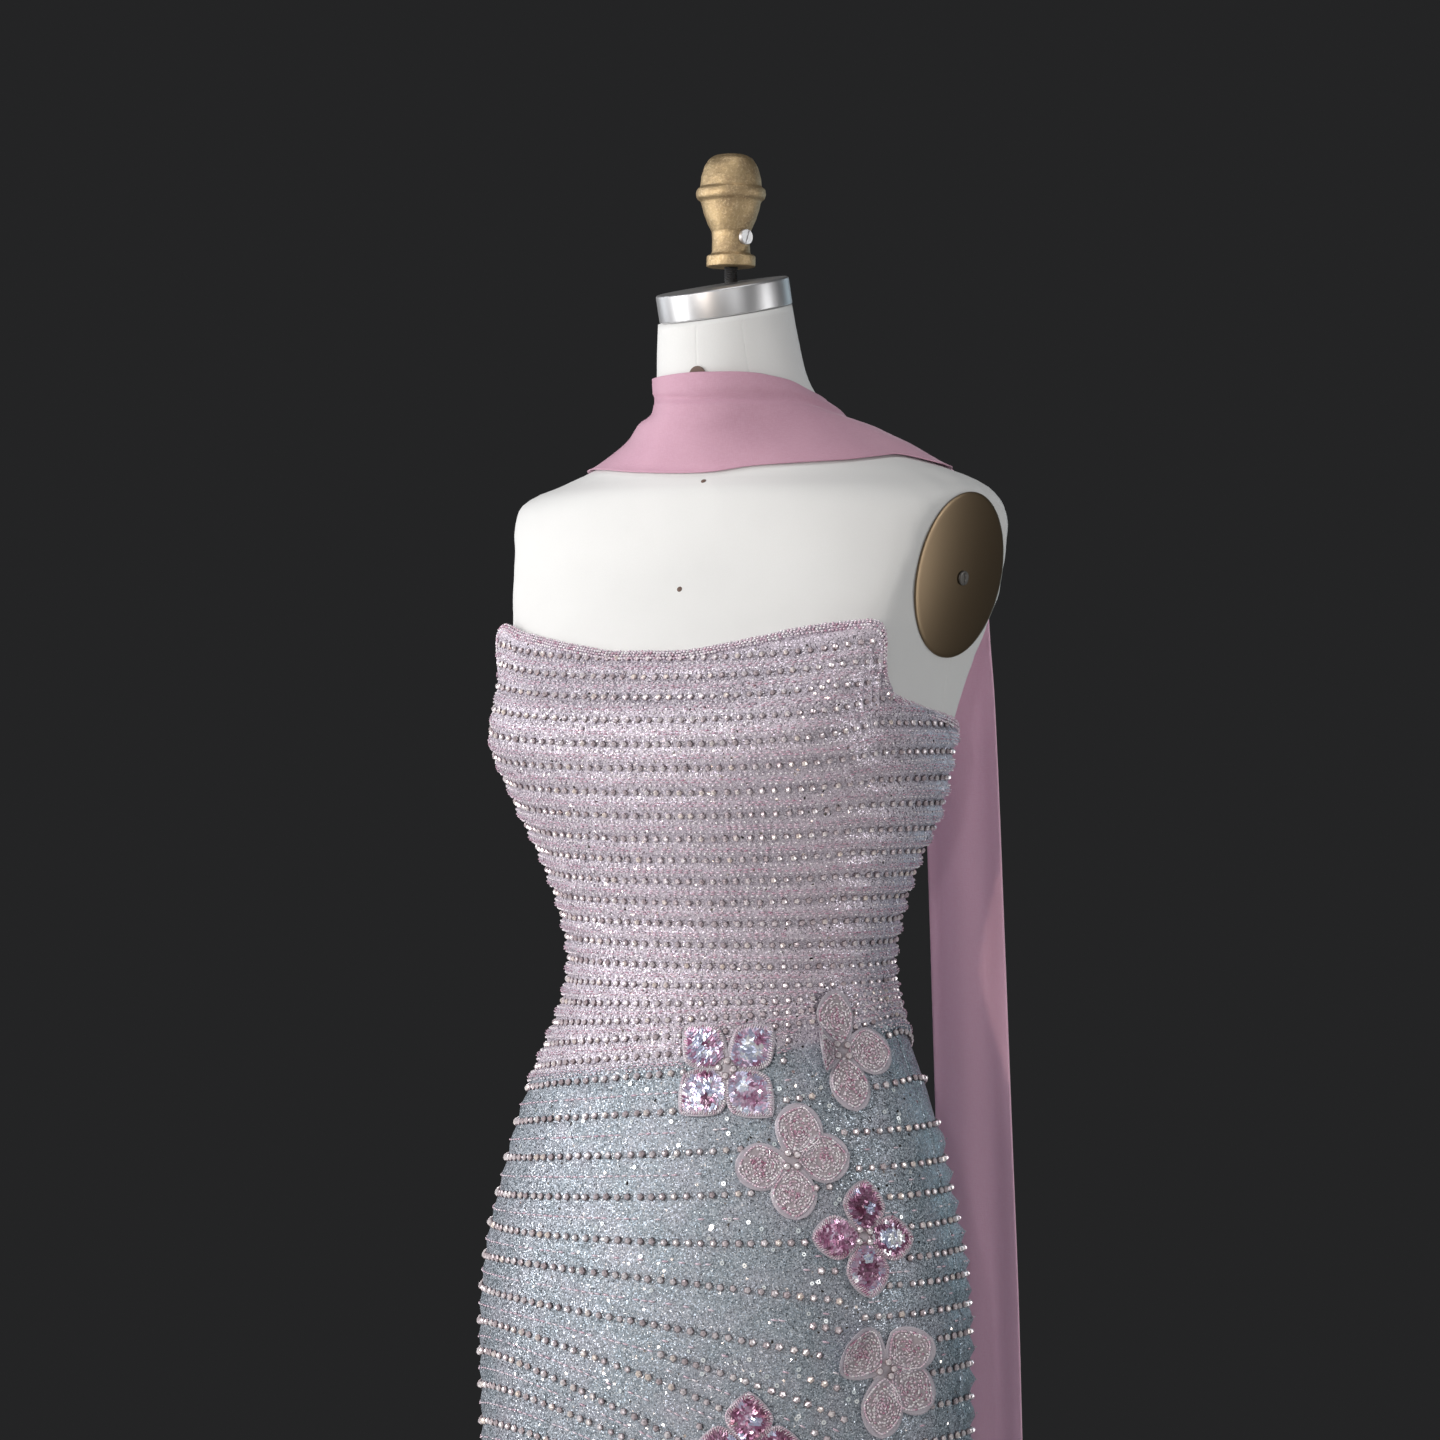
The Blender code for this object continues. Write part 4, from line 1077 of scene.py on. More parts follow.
class GOWN_OT_beads(bpy.types.Operator):
    """String the pink and clear beads between the rows of stones"""

    bl_idname = "gown.beads"
    bl_label = "Bead lines"

    def execute(self, context):
        rng = np.random.default_rng(settings().seed + 1)

        def everywhere(share, gap, turn):
            return np.ones(len(turn), bool)

        def raised(share, inside):
            return lambda turn: BEAD_OUT + swelling(turn, share, inside)

        def sparse(angle):
            return np.interp(np.abs(angle), [118, 132], [0.22, 0.78])

        def single(share, gap, turn):
            near = (gap < CLOSE_ROWS) | (np.abs(turn) < FRONT_ONLY)
            if share == 0.5:
                return near & (gap <= ONE_MORE)
            if share in (0.25, 0.75):
                return near & (gap > ONE_MORE) & (gap <= THREE_MORE)
            return near & (gap > THREE_MORE)

        def fade(angle):
            side = np.clip(0.12 + (np.abs(angle + 80) - 60) / 70, 0.12, 0.78)
            return np.where(np.abs(angle) < 130, side, 0.78)

        body = range(LAST_BODICE)
        quarters = (0.5, 0.25, 0.75, 0.125, 0.375, 0.625, 0.875)
        glass = {"Glass": finish(bead_glass)}
        # name, the bead's length and width, its lines, pitch, how it is raised, its tint, how it thins out
        for name, size, lines, pitch, out, shade, skip in (
            ("seeds_bodice", (1.6, 1.7), strands(body, (0.3, 0.7), everywhere), 4.0, raised(0.3, 1),
             tinted(0.80, 0.16), sparse),
            ("bugles_bodice", (3.0, 1.1), strands(body, (0.46, 0.57), everywhere), 4.7, raised(0.46, 1),
             tinted(0.36, 0.14), sparse),
            ("bugles_skirt", (4.4, 1.5), strands(SKIRT, quarters, single), 6.2, raised(0.5, 0),
             tinted(0.5, 0.12), fade),
        ):
            places = gather(lines, pitch, out, rng, shade, skip=skip)[0]
            sown(name, places, beads_tree(*size, 4), glass, "beaded_tulle")
        return {"FINISHED"}


# ---- the form's cover
CENTRE_SEAM, FRONT_SEAMS = 2.5, (-37.0, 42.0)
COVER_SEAMS = (CENTRE_SEAM, *FRONT_SEAMS, 91.0, -91.0, 180.0)
# Height and how far the centre seam has strayed there, in degrees.
CENTRE_DRIFT = np.array([(1320, -2.8), (1361, -2.25), (1437, -0.8), (1480, 0.0)])
PINS = ((1.7, 1437.0), (0.25, 1361.0))
TORSO_TOP, TORSO_LOW = 1558, 700


class GOWN_OT_form(bpy.types.Operator):
    """Cover the form, with its seams and pins"""

    bl_idname = "gown.form"
    bl_label = "Form cover"

    def execute(self, context):
        near = np.array([-0.8, -0.4, -0.2, 0, 0.2, 0.4, 0.8])
        columns = [np.arange(-180, 180, 4.0)] + [(seam + near + 180) % 360 - 180 for seam in COVER_SEAMS]
        columns = np.unique(np.round(np.concatenate(columns), 3))
        heights = [np.arange(TORSO_TOP, 1250, -4.4), np.arange(1248, TORSO_LOW, -22), [TORSO_LOW]]
        angle, z = np.meshgrid(columns, np.concatenate(heights))
        points, n = surface(angle, z), normals(angle, z)
        reach = np.linalg.norm(points[..., :2], axis=-1)
        dent = np.zeros_like(z)
        for seam in COVER_SEAMS:
            drift = (z - 1300) * 0.095 * np.sign(seam) * (seam in FRONT_SEAMS) * between(z, 1450, 1430)
            drift = drift + np.interp(z, *CENTRE_DRIFT.T) * (seam == CENTRE_SEAM)
            off = ((angle - seam - drift + 180) % 360 - 180) * np.pi / 180 * reach
            dent -= 0.16 * bell(off, 0, 0.55) - 0.05 * bell(np.abs(off), 1.6, 1.0)
        # the cover is drawn in where it is sewn round the arm plate
        for side, _ in LEFT_AND_RIGHT[::-1]:
            apart = (points - PLATE_AT * np.array([side, 1, 1])) / np.array([1, 0.75, 1])
            dent += 0.5 * bell(np.linalg.norm(apart, axis=-1), 70, 7) * np.sin(angle * 1.9 + z * 0.21)
        dent *= between(z, TORSO_TOP - 2, TORSO_TOP - 8)
        points = tilted(points, z) + dent[..., None] * n
        rows, cols = z.shape
        faces = grid_quads(rows, cols, True).tolist()
        count, last = rows * cols, (rows - 1) * cols
        for c in range(cols):
            d = (c + 1) % cols
            faces += [(count, c, d), (count + 1, last + d, last + c)]
        flat = np.concatenate([points.reshape(-1, 3), [points[0].mean(0)], [points[-1].mean(0)]])
        thing = piece("form_cover", flat, faces, [finish(form_cover)], "form_cover")
        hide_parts("form_torso")
        pin, pin_faces = turned(softened([(2.0, -0.4), (1.9, 0.2), (0.3, 0.6)], 0.2), 16)
        pins = joined([(placed(pin, surface(*at), (0, 0, 1), normals(*at)), pin_faces) for at in PINS])
        piece("form_pins", *pins, [finish(brown_disc)], "brown_disc")
        return {"FINISHED"}


# ---- the metal parts, as outlines of radius and height
CAP = (
    (20.0, 0.4), (46.8, 0.4), (47.6, 1.2), (47.6, 19.2), (46.4, 20.3), (12.5, 20.3), (11.8, 20.1), (7.0, 20.1),
)
CAP_TOP = 20.8
ROD_RADIUS, ROD_TOP, THREAD_PITCH, THREAD_DEEP = 5.0, 1591.6, 1.5, 0.13
FINIAL = (
    (16.2, 1592.0), (17.4, 1592.4), (17.4, 1600.0), (14.4, 1600.6), (13.5, 1603.0), (13.4, 1610.0),
    (13.5, 1616.5), (14.8, 1619.0), (17.2, 1624.0), (19.6, 1631.0), (21.5, 1638.6), (24.2, 1640.3),
    (25.0, 1643.8), (24.2, 1647.2), (21.9, 1648.6), (21.2, 1655.5), (19.0, 1663.2), (15.6, 1668.6),
    (11.0, 1671.3), (5.0, 1672.3),
)
CASTING_SEAMS = (4.05, 0.91)  # radians round the finial
FINIAL_SCREW = ((5.0, 0.0), (5.4, 0.4), (5.5, 3.0), (5.1, 3.5))
FINIAL_SCREW_WAY, FINIAL_SCREW_AT = np.array([0.945, -0.326, 0.0]), (13.9, 1612.2)
PLATE_SCREW = ((4.8, 4.45), (5.2, 4.75), (5.1, 5.6), (4.2, 6.2))
PLATE_EDGE, PLATE_RIM, PLATE_DOME = ((1.0, 0.45), (1.0, 1.1), (0.985, 1.45)), 1.45, 2.6
SLOT_DEEP, SLOT_WIDE = 0.7, 0.45
DISC, DISC_AT = ((6.0, 0.45), (6.4, 0.6), (6.4, 1.2), (5.6, 1.5), (0.4, 1.55)), (3.0, 1514.0)
POLE = ((14.0, 12.3), (14.0, 684.0), (17.0, 687.0), (46.0, 688.4), (48.0, 690.0), (48.0, 699.6), (4.0, 699.6))
BASE = ((162.0, 0.0), (165.0, 2.0), (165.0, 6.5), (160.0, 9.0), (60.0, 11.6), (30.0, 12.0), (4.0, 12.0))


def metal(name, nodes, shape, recipe, slot, at=None, x=(1, 0, 0), up=(0, 0, 1)):
    """A smooth part with crisp edges, turned about its own axis and then put in its place."""
    points, faces = shape
    if at is not None:
        points = placed(points, np.array(at, float), x, up)
    thing = piece(name, points, faces, [finish(recipe)], slot)
    thing.modifiers.new("Edges", "EDGE_SPLIT").split_angle = math.radians(40)
    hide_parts(*nodes)


def screw(name, nodes, outline, at, x, axis, recipe):
    """A turned screw with a slot across its head."""
    radius, top = outline[-1]

    def slotted(points, turn, height):
        points[..., 2] -= SLOT_DEEP * ((np.abs(points[..., 1]) < SLOT_WIDE) & (height > top - 0.01))
        return points

    rings = [*outline] + [(r, top) for r in np.linspace(radius * 0.97, 0.2, 14)]
    metal(name, nodes, turned(rings, 48, slotted), recipe, "steel", at, x, axis)


def threaded_rod(up):
    top = NECK_TOP + CAP_TOP * up[2] + (-NECK_MIDDLE - CAP_TOP * up[:2]) @ NECK_TILT

    def thread(points, turn, height):
        wave = 2 * np.abs(((height / THREAD_PITCH - turn / (2 * np.pi)) % 1.0) - 0.5)
        ends = np.clip((height - top - 0.3) * 3, 0, 1), np.clip((ROD_TOP - height) * 3, 0, 1)
        points[..., :2] *= (1 - THREAD_DEEP * wave * ends[0] * ends[1])[..., None]
        points[..., 2] += points[..., :2] @ NECK_TILT * np.clip(1 - (height - top) / 3, 0, 1)
        return points

    heights = np.concatenate([[top + 0.3], np.arange(top + 0.5, ROD_TOP - 0.1, 0.22), [ROD_TOP]])
    rod = turned([(ROD_RADIUS, h) for h in heights], 32, thread)
    metal("finial_rod_threaded", ["finial_rod"], rod, black_metal, "black_metal")


def cast_finial():
    rng = np.random.default_rng(settings().seed + 5)

    def cast(points, turn, height):
        lump = 0.16 * np.sin(turn * 5 + height * 0.9) + 0.12 * np.sin(turn * 11 - height * 1.7)
        lump = lump + rng.normal(0, 0.05, points.shape[:2])
        seam = sum(0.5 * bell(turn * 16, at * 16, 0.8) for at in CASTING_SEAMS)
        radius = np.maximum(np.hypot(points[..., 0], points[..., 1]), 8)
        points[..., :2] *= 1 + ((0.35 * lump + seam) / radius)[..., None]
        return points

    metal("finial_cast", ["finial"], turned(softened(FINIAL, 1.6, 5), 72, cast), old_brass, "old_brass")
    out, height = FINIAL_SCREW_AT
    at = np.array([0, 0, height]) + FINIAL_SCREW_WAY * out
    screw("finial_screw_slotted", ["finial_screw"], FINIAL_SCREW, at, (0.2, 0.3, 1), FINIAL_SCREW_WAY, steel)


def arm_plate(side, name):
    """The domed oval plate of one side, with its screw."""
    mirror = np.array([side, 1, 1])
    normal = unit(PLATE_NORMAL * mirror)
    along = PLATE_LONG * mirror
    along = unit(along - normal * (normal @ along))
    at = PLATE_AT * mirror
    dome = [*PLATE_EDGE] + [(r, PLATE_RIM + PLATE_DOME * (1 - r * r)) for r in np.linspace(0.96, 0.02, 22)]
    points, faces = turned(dome, 96)
    oval = points * np.array([*PLATE_HALF, 1.0]), faces
    metal("armplate_%s_bronze" % name, ["armplate_" + name], oval, bronze, "bronze", at, along, normal)
    across = along + 0.4 * np.cross(normal, along)
    screw(
        "armplate_screw_%s_slotted" % name, ["armplate_screw_" + name], PLATE_SCREW, at - 2.0 * along, across,
        normal, dark_steel)


class GOWN_OT_metal(bpy.types.Operator):
    """Turn the neck cap, finial, arm plates, screws and stand"""

    bl_idname = "gown.metal"
    bl_label = "Metal parts"

    def execute(self, context):
        up = unit(np.array([-NECK_TILT[0], -NECK_TILT[1], 1.0]))
        cap = turned(softened(CAP, 0.5), 128)
        metal("neck_cap_steel", ["neck_cap"], cap, steel, "steel", (*NECK_MIDDLE, NECK_TOP), up=up)
        threaded_rod(up)
        cast_finial()
        for side, name in LEFT_AND_RIGHT:
            arm_plate(side, name)
        at, out = surface(*DISC_AT), normals(*DISC_AT)
        at = at + np.array([0, 0, lean(at, DISC_AT[1])])
        disc = turned(softened(DISC, 0.3), 48)
        metal("neck_disc_brown", ["neck_disc"], disc, brown_disc, "brown_disc", at, (0, 0, 1), out)
        pole, base = turned(softened(POLE, 1.2), 64), turned(softened(BASE, 1.5), 128)
        metal("stand_pole_metal", ["stand_pole"], pole, black_metal, "black_metal")
        metal("stand_base_metal", ["stand_base"], base, black_metal, "black_metal")
        return {"FINISHED"}


# ---- the scarf
# Angle, height of the wrap's upper and lower edge, how full it is.
COLLAR = np.array([
    (-180, 1489, 1446, 0.8), (-150, 1493, 1446, 0.8), (-120, 1503, 1447, 0.8), (-90, 1510, 1449, 0.75),
    (-60, 1514, 1450, 0.8), (-39, 1515, 1448, 0.95), (-17, 1516, 1444, 1.0), (1, 1516.5, 1442, 1.05),
    (15, 1516, 1446, 1.05), (29, 1515.5, 1448, 1.05), (44, 1514, 1450, 1.1), (58, 1511, 1453, 1.1),
    (70, 1508, 1455, 1.05), (87, 1500, 1450, 1.0), (104, 1495, 1447, 0.95), (130, 1490, 1446, 0.9),
    (180, 1489, 1446, 0.8),
])
# Share of the way down the wrap, and how far it stands off there.
FOLD = np.array([
    (0.0, 2.1), (0.07, 3.4), (0.17, 4.4), (0.275, 2.9), (0.37, 5.0), (0.5, 6.4), (0.66, 5.2), (0.83, 3.0),
    (1.0, 1.0),
])
# Height, left and right edge, how far back it hangs (0 where it lies on the form), depth of its folds.
TAIL = np.array([
    (1444, 84, 138, 0, 0.1), (1438, 85.5, 140.5, 0, 0.6), (1428, 87.5, 143.5, 0, 1.0),
    (1412, 90, 147, 0, 1.4), (1391, 92, 150.5, 0, 1.9), (1367, 94, 153, 0, 2.5), (1335, 95, 154.5, 103, 3.2),
    (1290, 96, 155.5, 109, 4.0), (1230, 97, 156.5, 114, 4.6), (1157, 97, 157.5, 119, 5.0),
    (1070, 96.5, 158, 126, 5.2), (960, 96, 159, 134, 5.4), (850, 95.5, 160, 142, 5.6),
    (740, 95, 160.5, 148, 5.8), (600, 94, 162, 155, 6.0), (440, 93, 163, 164, 6.2), (270, 91, 164, 177, 6.4),
    (110, 90, 165, 194, 6.6),
])
LAST_ON_FORM = 6  # the row of that table where the tail leaves the form
TUCKED_AT = 1446.0  # height at which it comes out from under the wrap
FOLD_AT = 0.275  # share of the way down of the wrap's deepest crease


def wrap_off(angle, share, full):
    """How far the wrap stands off the neck."""
    body = np.sin(math.pi * share) ** 0.5
    off = read_table(share, FOLD)[0] + (full - 1) * 6.0 * body
    off = off + 0.5 * body * np.sin(np.radians(angle * 3 + 200 * share))
    front = bell(angle, 0, 75, 4)
    middle = FOLD_AT + 0.06 * np.clip(angle / 60, -1, 1)
    off -= front * (1.3 - angle / 90) * bell(share, middle, 0.022)
    off += front * 0.8 * np.exp(-(((share - middle - 0.05) / 0.03) ** 2))
    rolled = between(angle, -18, -40) * between(angle, -110, -90)
    rolls = 2.6 * bell(share, 0.60, 0.11) - 2.4 * bell(share, 0.40, 0.09) - 1.5 * bell(share, 0.16, 0.10)
    off += rolled * rolls
    off -= rolled * 1.4 * bell(share, 0.27, 0.02)
    off += 0.35 * body * np.sin(np.radians(angle * 5.0 - 430 * share)) * (1 - 0.6 * front)
    return off + 0.45 * (bell(share, 0, 0.02) + np.exp(-(((1 - share) / 0.02) ** 2)))


def wrap():
    """The stretch wound round the neck."""
    columns = np.arange(-180, 180, 2.5)
    share = np.concatenate([[0, 0.012], np.linspace(0.03, 0.97, 34), [0.988, 1.0]])[:, None]
    top, bottom, full = read_table(columns, COLLAR)
    z = top + (bottom - top) * share
    angle = np.broadcast_to(columns, z.shape)
    off = wrap_off(angle, share, full)
    base, n = tilted(surface(angle, z), z), normals(angle, z)
    outer = base + np.maximum(off + 1.2, 1.7)[..., None] * n
    inner = base + np.maximum(off + 0.5, 1.0)[..., None] * n
    return shell(outer, inner, around=True)[:2]


def tail_row(row, t):
    """Points across the tail at one row of its table."""
    height, left, right, y, fold = row
    back = np.linspace(88, 180, 185)
    x = left + (right - left) * t
    z = np.full(len(t), height)
    if height == TAIL[0, 0]:
        here = np.interp(x, surface(back, TUCKED_AT)[::-1, 0], back[::-1])
        z = read_table(here, COLLAR)[1]
        z = z - 0.6 / np.linalg.norm(surface(here, z - 1.0) - surface(here, z), axis=1)
    wave = 0.45 * np.sin(2 * math.pi * (1.5 * t + 0.1) + 0.0012 * (TAIL[0, 0] - height))
    over, lies = np.zeros(len(t)), np.zeros(len(t))
    for k, (one_x, one_z) in enumerate(zip(x, z)):
        line = surface(back, one_z)[::-1]
        over[k], lies[k] = np.interp(one_x, line[:, 0], back[::-1]), np.interp(one_x, line[:, 0], line[:, 1])
    if y == 0:
        off = 1.0 + 1.3 * min(1.0, fold) + fold * (0.9 + 0.6 * wave) + 0.6
        return surface(over, z) + off[:, None] * normals(over, z)
    return np.stack([x, np.maximum(lies + 4.0 + fold, y - 6.0 * (t - 0.5) ** 2) + fold * wave + 0.6, z], 1)


def tail():
    """The end that hangs behind the left shoulder."""
    t = np.linspace(0, 1, 35)
    keys = np.array([tail_row(row, t) for row in TAIL])
    along = lengths(keys.mean(1))
    free = along[LAST_ON_FORM]
    at = np.concatenate([np.linspace(0, free, 34), np.linspace(free, along[-1] - 2, 110)[1:], [along[-1]]])
    middle = [[smooth_table(at, along, keys[:, c, k]) for k in range(3)] for c in range(len(t))]
    middle = np.array(middle).transpose(2, 0, 1)
    n = unit(np.cross(np.gradient(middle, axis=1), np.gradient(middle, axis=0)))
    n *= np.sign(n[..., 1].mean())
    hem = (0.25 + 0.35 * bell(np.minimum(t, 1 - t), 0, 0.02))[None, :, None]
    return shell((middle + n * hem)[:, ::-1], (middle - n * hem)[:, ::-1])[:2]


class GOWN_OT_scarf(bpy.types.Operator):
    """Wind the scarf round the neck and let its end hang"""

    bl_idname = "gown.scarf"
    bl_label = "Scarf"

    def execute(self, context):
        for node, shape, single, held, under in (
            ("scarf_neck", wrap(), 0.0, "draped", ["form_torso"]),
            ("scarf_tail", tail(), 1.0, "hung", ["form_torso", "scarf_neck_chiffon"]),
        ):
            # single is 1 on the tail, which the chiffon makes much paler: partly a single sheer layer, partly
            # painted light shining through it
            thing = piece(
                node + "_chiffon", *shape, [finish(chiffon)], "pink_chiffon",
                attributes={"single": np.full(len(shape[0]), single)})
            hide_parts(node)
        return {"FINISHED"}


# ---- the flowers' organza, beads and sequins
PETAL_LIFT = 3.4  # of the organza over the form
OVAL_MIDDLE, OVAL_REACH = 0.53, 0.46  # the beaded oval of a petal, as shares of the petal's reach
HATCH_LOOPS = (0.93, 0.80)
# Loops of beads, from the rim in: share of the oval, pitch, colour, and the share of beads that is kept.
FILL_LOOPS = (
    (0.86, 2.1, 0.55, 0.97), (0.73, 2.3, 0.8, 0.8), (0.62, 2.3, 0.7, 0.75), (0.51, 2.3, 0.8, 0.8),
    (0.41, 2.2, 0.55, 0.85), (0.31, 2.1, 0.6, 0.85), (0.21, 2.0, 0.35, 0.9), (0.12, 1.9, 0.4, 0.9),
    (0.05, 1.6, 0.25, 0.9),
)
# Colours of each petal's sequins, from burgundy (0) through pink to white (1): middle, rim, scattered patches.
SEQUIN_TINTS = {
    "flower_1": ((0.88, 0.58, 0.30), (0.82, 0.50, 0.28), (0.72, 0.62, 0.12), (0.40, 0.58, 0.92)),
    "flower_4": ((0.9, 0.2, 1.0), (0.08, 0.2, 0.75), (0.32, 0.28, 0.36), (0.12, 0.5, 0.9)),
    "flower_6": ((0.33, 0.12, 0.8), (0.34, 0.12, 0.7), (0.32, 0.14, 0.8), (0.35, 0.12, 0.8)),
}
SEQUIN_ROWS, SEQUIN_COLS, SEQUIN_SPREAD = 1.9, 15, 0.78  # pitch of the rows, sequins in one, how wide it is
# The round in the middle: radius and height, over its top and back under it.
MIDDLE_DISC = ((0.5, 1.5), (6, 1.4), (11, 0.9), (11, 0.45), (6, 0.45), (0.5, 0.45))
MIDDLE_SIDES = 24
HEART_RADIUS, HEART_TURN = 5.2, 40  # where the four stones of the middle sit


def petal(flower, k, s, t, off):
    """Points of petal k, s along it and t across it, `off` above its organza, and the way out there."""
    s, t, off = np.broadcast_arrays(np.asarray(s, float), np.asarray(t, float), np.asarray(off, float))
    point, petals = FLOWERS[flower][2:]
    turn, reach, half, fold, bend = petals[k]
    at, z, rise = petal_place(flower, k, reach * s, half * petal_width(s, point) * t)
    n = normals(at, z)
    ripple = 0.8 * np.abs(t) ** 3 * np.sin(np.pi * s) + 0.3 * np.sin(9 * s + 4 * t + k) * s
    way = math.radians(turn)
    along = unit(surface(at + 2 * math.cos(way) / 2.4, z + 2 * math.sin(way)) - surface(at, z))
    tip = math.radians(bend) * np.clip((reach * s - fold * reach) / 6, 0, 1)[..., None]
    out = n * np.cos(tip) - along * np.sin(tip)
    return surface(at, z) + (PETAL_LIFT + rise)[..., None] * n + (ripple + off)[..., None] * out, out


def loop(name, k, share, pitch, tall):
    """Even places round petal k, at a share of the way out to its edge, with the ways out and onward."""
    turn = np.linspace(0, 2 * np.pi, 161)
    line, n = petal(name, k, OVAL_MIDDLE - OVAL_REACH * share * np.cos(turn), share * np.sin(turn), tall)
    along = lengths(line)
    at = np.arange(0, along[-1], pitch)
    return *(taken(grid, along, at) for grid in (line, n, np.gradient(line, axis=0))), len(at)


def put(into, *values):
    """Adds places, ways out, ways onward, sizes and colours to their lists."""
    for part, value in zip(into, values):
        part.append(np.asarray(value, float))


def hatch(into, name, k, rng):
    """The slanting beads on the rim of a sequinned petal."""
    for share in HATCH_LOOPS:
        where, out, ahead, count = loop(name, k, share, 1.7, 0.9)
        slant = np.cross(out, ahead) + 0.5 * unit(ahead) * np.linalg.norm(ahead, axis=1).mean()
        size = rng.uniform(0.8, 1.1, count)
        put(into, where, out, slant, size, tinted(0.68 if name == "flower_1" else 0.42, 0.22)(rng, count))


def sequin_rows(into, name, k, rng):
    """Overlapping sequins inside a petal, in rows that start at its tip."""
    middle, rim, spot = SEQUIN_TINTS[name][k]
    rows = np.arange(0.88, 0.16, -SEQUIN_ROWS / FLOWERS[name][3][k][1])
    a = np.repeat(rows, SEQUIN_COLS)
    b = np.tile(np.linspace(-SEQUIN_SPREAD, SEQUIN_SPREAD, SEQUIN_COLS), len(rows))
    b = b + 0.05 * np.repeat(np.arange(len(rows)) % 2, SEQUIN_COLS)
    inward = np.hypot((a - OVAL_MIDDLE) / 0.40, b / SEQUIN_SPREAD)
    kept = (inward < 1) & (rng.random(len(a)) < 0.9)
    a, b, inward = a[kept], b[kept], inward[kept]
    where, out = petal(name, k, a, b, 0.8 + 1.0 * (0.9 - a))
    way = unit(petal(name, k, a + 0.02, b, 0.8)[0] - petal(name, k, a, b, 0.8)[0])
    tip = out + 0.28 * way + rng.normal(0, 0.16, out.shape)
    cloud = 0.5 + 0.5 * np.sin(a * 11 + 2.3 * k) * np.cos(b * 3.5 + k)
    tint = np.where(inward < 0.62, middle, rim) + rng.normal(0, 0.13, len(a))
    tint = np.where(cloud > 0.78, spot + rng.normal(0, 0.08, len(a)), tint)
    put(into, where, tip, np.cross(out, way), rng.uniform(0.85, 1.1, len(a)), np.clip(tint, 0, 1))


def fill(borders, fills, name, k, rng):
    """Beads round and round inside a petal, neat at the rim and loose farther in."""
    for share, pitch, tint, part in FILL_LOOPS:
        rim = share > 0.8
        loose, stray = (0.05, 0.05) if rim else (0.32, 0.3)
        where, out, ahead, count = loop(name, k, share, pitch, 0.85)
        where = where + rng.normal(0, loose, where.shape)
        ahead = ahead + rng.normal(0, stray, ahead.shape) * np.linalg.norm(ahead, axis=1, keepdims=True)
        kept = rng.random(count) < part
        shade = tinted(tint, 0.28)(rng, count)
        size = rng.uniform(0.85, 1.1, count)
        put(borders if rim else fills, *(values[kept] for values in (where, out, ahead, size, shade)))


def flower_point(name, radius, turn):
    """Angle and height of a place at a radius and a turn about a flower's middle."""
    angle, height = FLOWERS[name][:2]
    return angle + radius * np.cos(turn) / per_degree(angle, height), height + radius * np.sin(turn)


def organza_flower(name):
    """The four petals of a flower and its round middle: points, faces, and where it is worked with beads."""
    parts, worked = [], []
    along, across = np.meshgrid(np.linspace(0.02, 1.0, 21), np.linspace(-1, 1, 15), indexing="ij")
    oval = np.clip((0.86 - np.hypot((along - OVAL_MIDDLE) / OVAL_REACH, across)) / 0.08, 0, 1)[:, ::-1]
    for k in range(4):
        up, low = (petal(name, k, along, across, off)[0][:, ::-1] for off in (0.3, -0.15))
        points, faces = shell(up, low)[:2]
        parts.append((points, faces[:, ::-1].tolist()))
        worked.append(np.concatenate([oval.ravel()] * 2))
    turn = np.linspace(0, 2 * np.pi, MIDDLE_SIDES, endpoint=False)
    rings = [gown_point(*flower_point(name, radius, turn), 2.6 + high) for radius, high in MIDDLE_DISC]
    count = MIDDLE_SIDES * len(MIDDLE_DISC)
    disc = grid_quads(len(rings), MIDDLE_SIDES, True).tolist()
    disc += [list(range(MIDDLE_SIDES)), list(range(count - 1, count - MIDDLE_SIDES - 1, -1))]
    parts.append((np.concatenate(rings), [face[::-1] for face in disc]))
    worked.append(np.full(count, 0.6))
    return *joined(parts), np.concatenate(worked)


class GOWN_OT_flowers(bpy.types.Operator):
    """Cut the organza petals and sew the flowers' beads, sequins and stones"""

    bl_idname = "gown.flowers"
    bl_label = "Flowers"

    def execute(self, context):
        rng = np.random.default_rng(settings().seed + 2)
        hatched, borders, fills, discs, hearts = ([[] for _ in range(5)] for _ in range(5))
        for name, (_, _, _, petals) in FLOWERS.items():
            for k in range(4):
                if name in SEQUINNED:
                    hatch(hatched, name, k, rng)
                    sequin_rows(discs, name, k, rng)
                else:
                    fill(borders, fills, name, k, rng)
            *shape, worked = organza_flower(name)
            thing = piece(
                name + "_petals", *shape, [finish(organza)], "beaded_flower", attributes={"worked": worked})
            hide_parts(name)
            for k in range(4):
                at = flower_point(name, HEART_RADIUS, math.radians(petals[k][0] + HEART_TURN))
                n = normals(*at)
                put(hearts, [gown_point(*at, 4.2)], [n], [np.cross(n, [0, 0, 1.0])], [1.1], [0.6])
        glass, film = {"Glass": finish(bead_glass)}, {"Film": finish(sequin_film)}
        gems = {"Cup": finish(stone_cups), "Stone": finish(stones)}
        for name, places, tree, values in (
            ("flower_borders", borders, beads_tree(2.0, 1.7, 5), glass),
            ("flower_hatching", hatched, beads_tree(2.4, 1.2, 4), glass),
            ("flower_beads", fills, beads_tree(1.9, 1.7, 4), glass),
            ("flower_sequins", discs, rings_tree(3.8, 0.7, 0.14, 6), film),
            ("flower_stones", hearts, stones_tree(5.0, 2.8, 8), gems),
        ):
            sown(name, merged(places), tree, values, "beaded_flower")
        return {"FINISHED"}


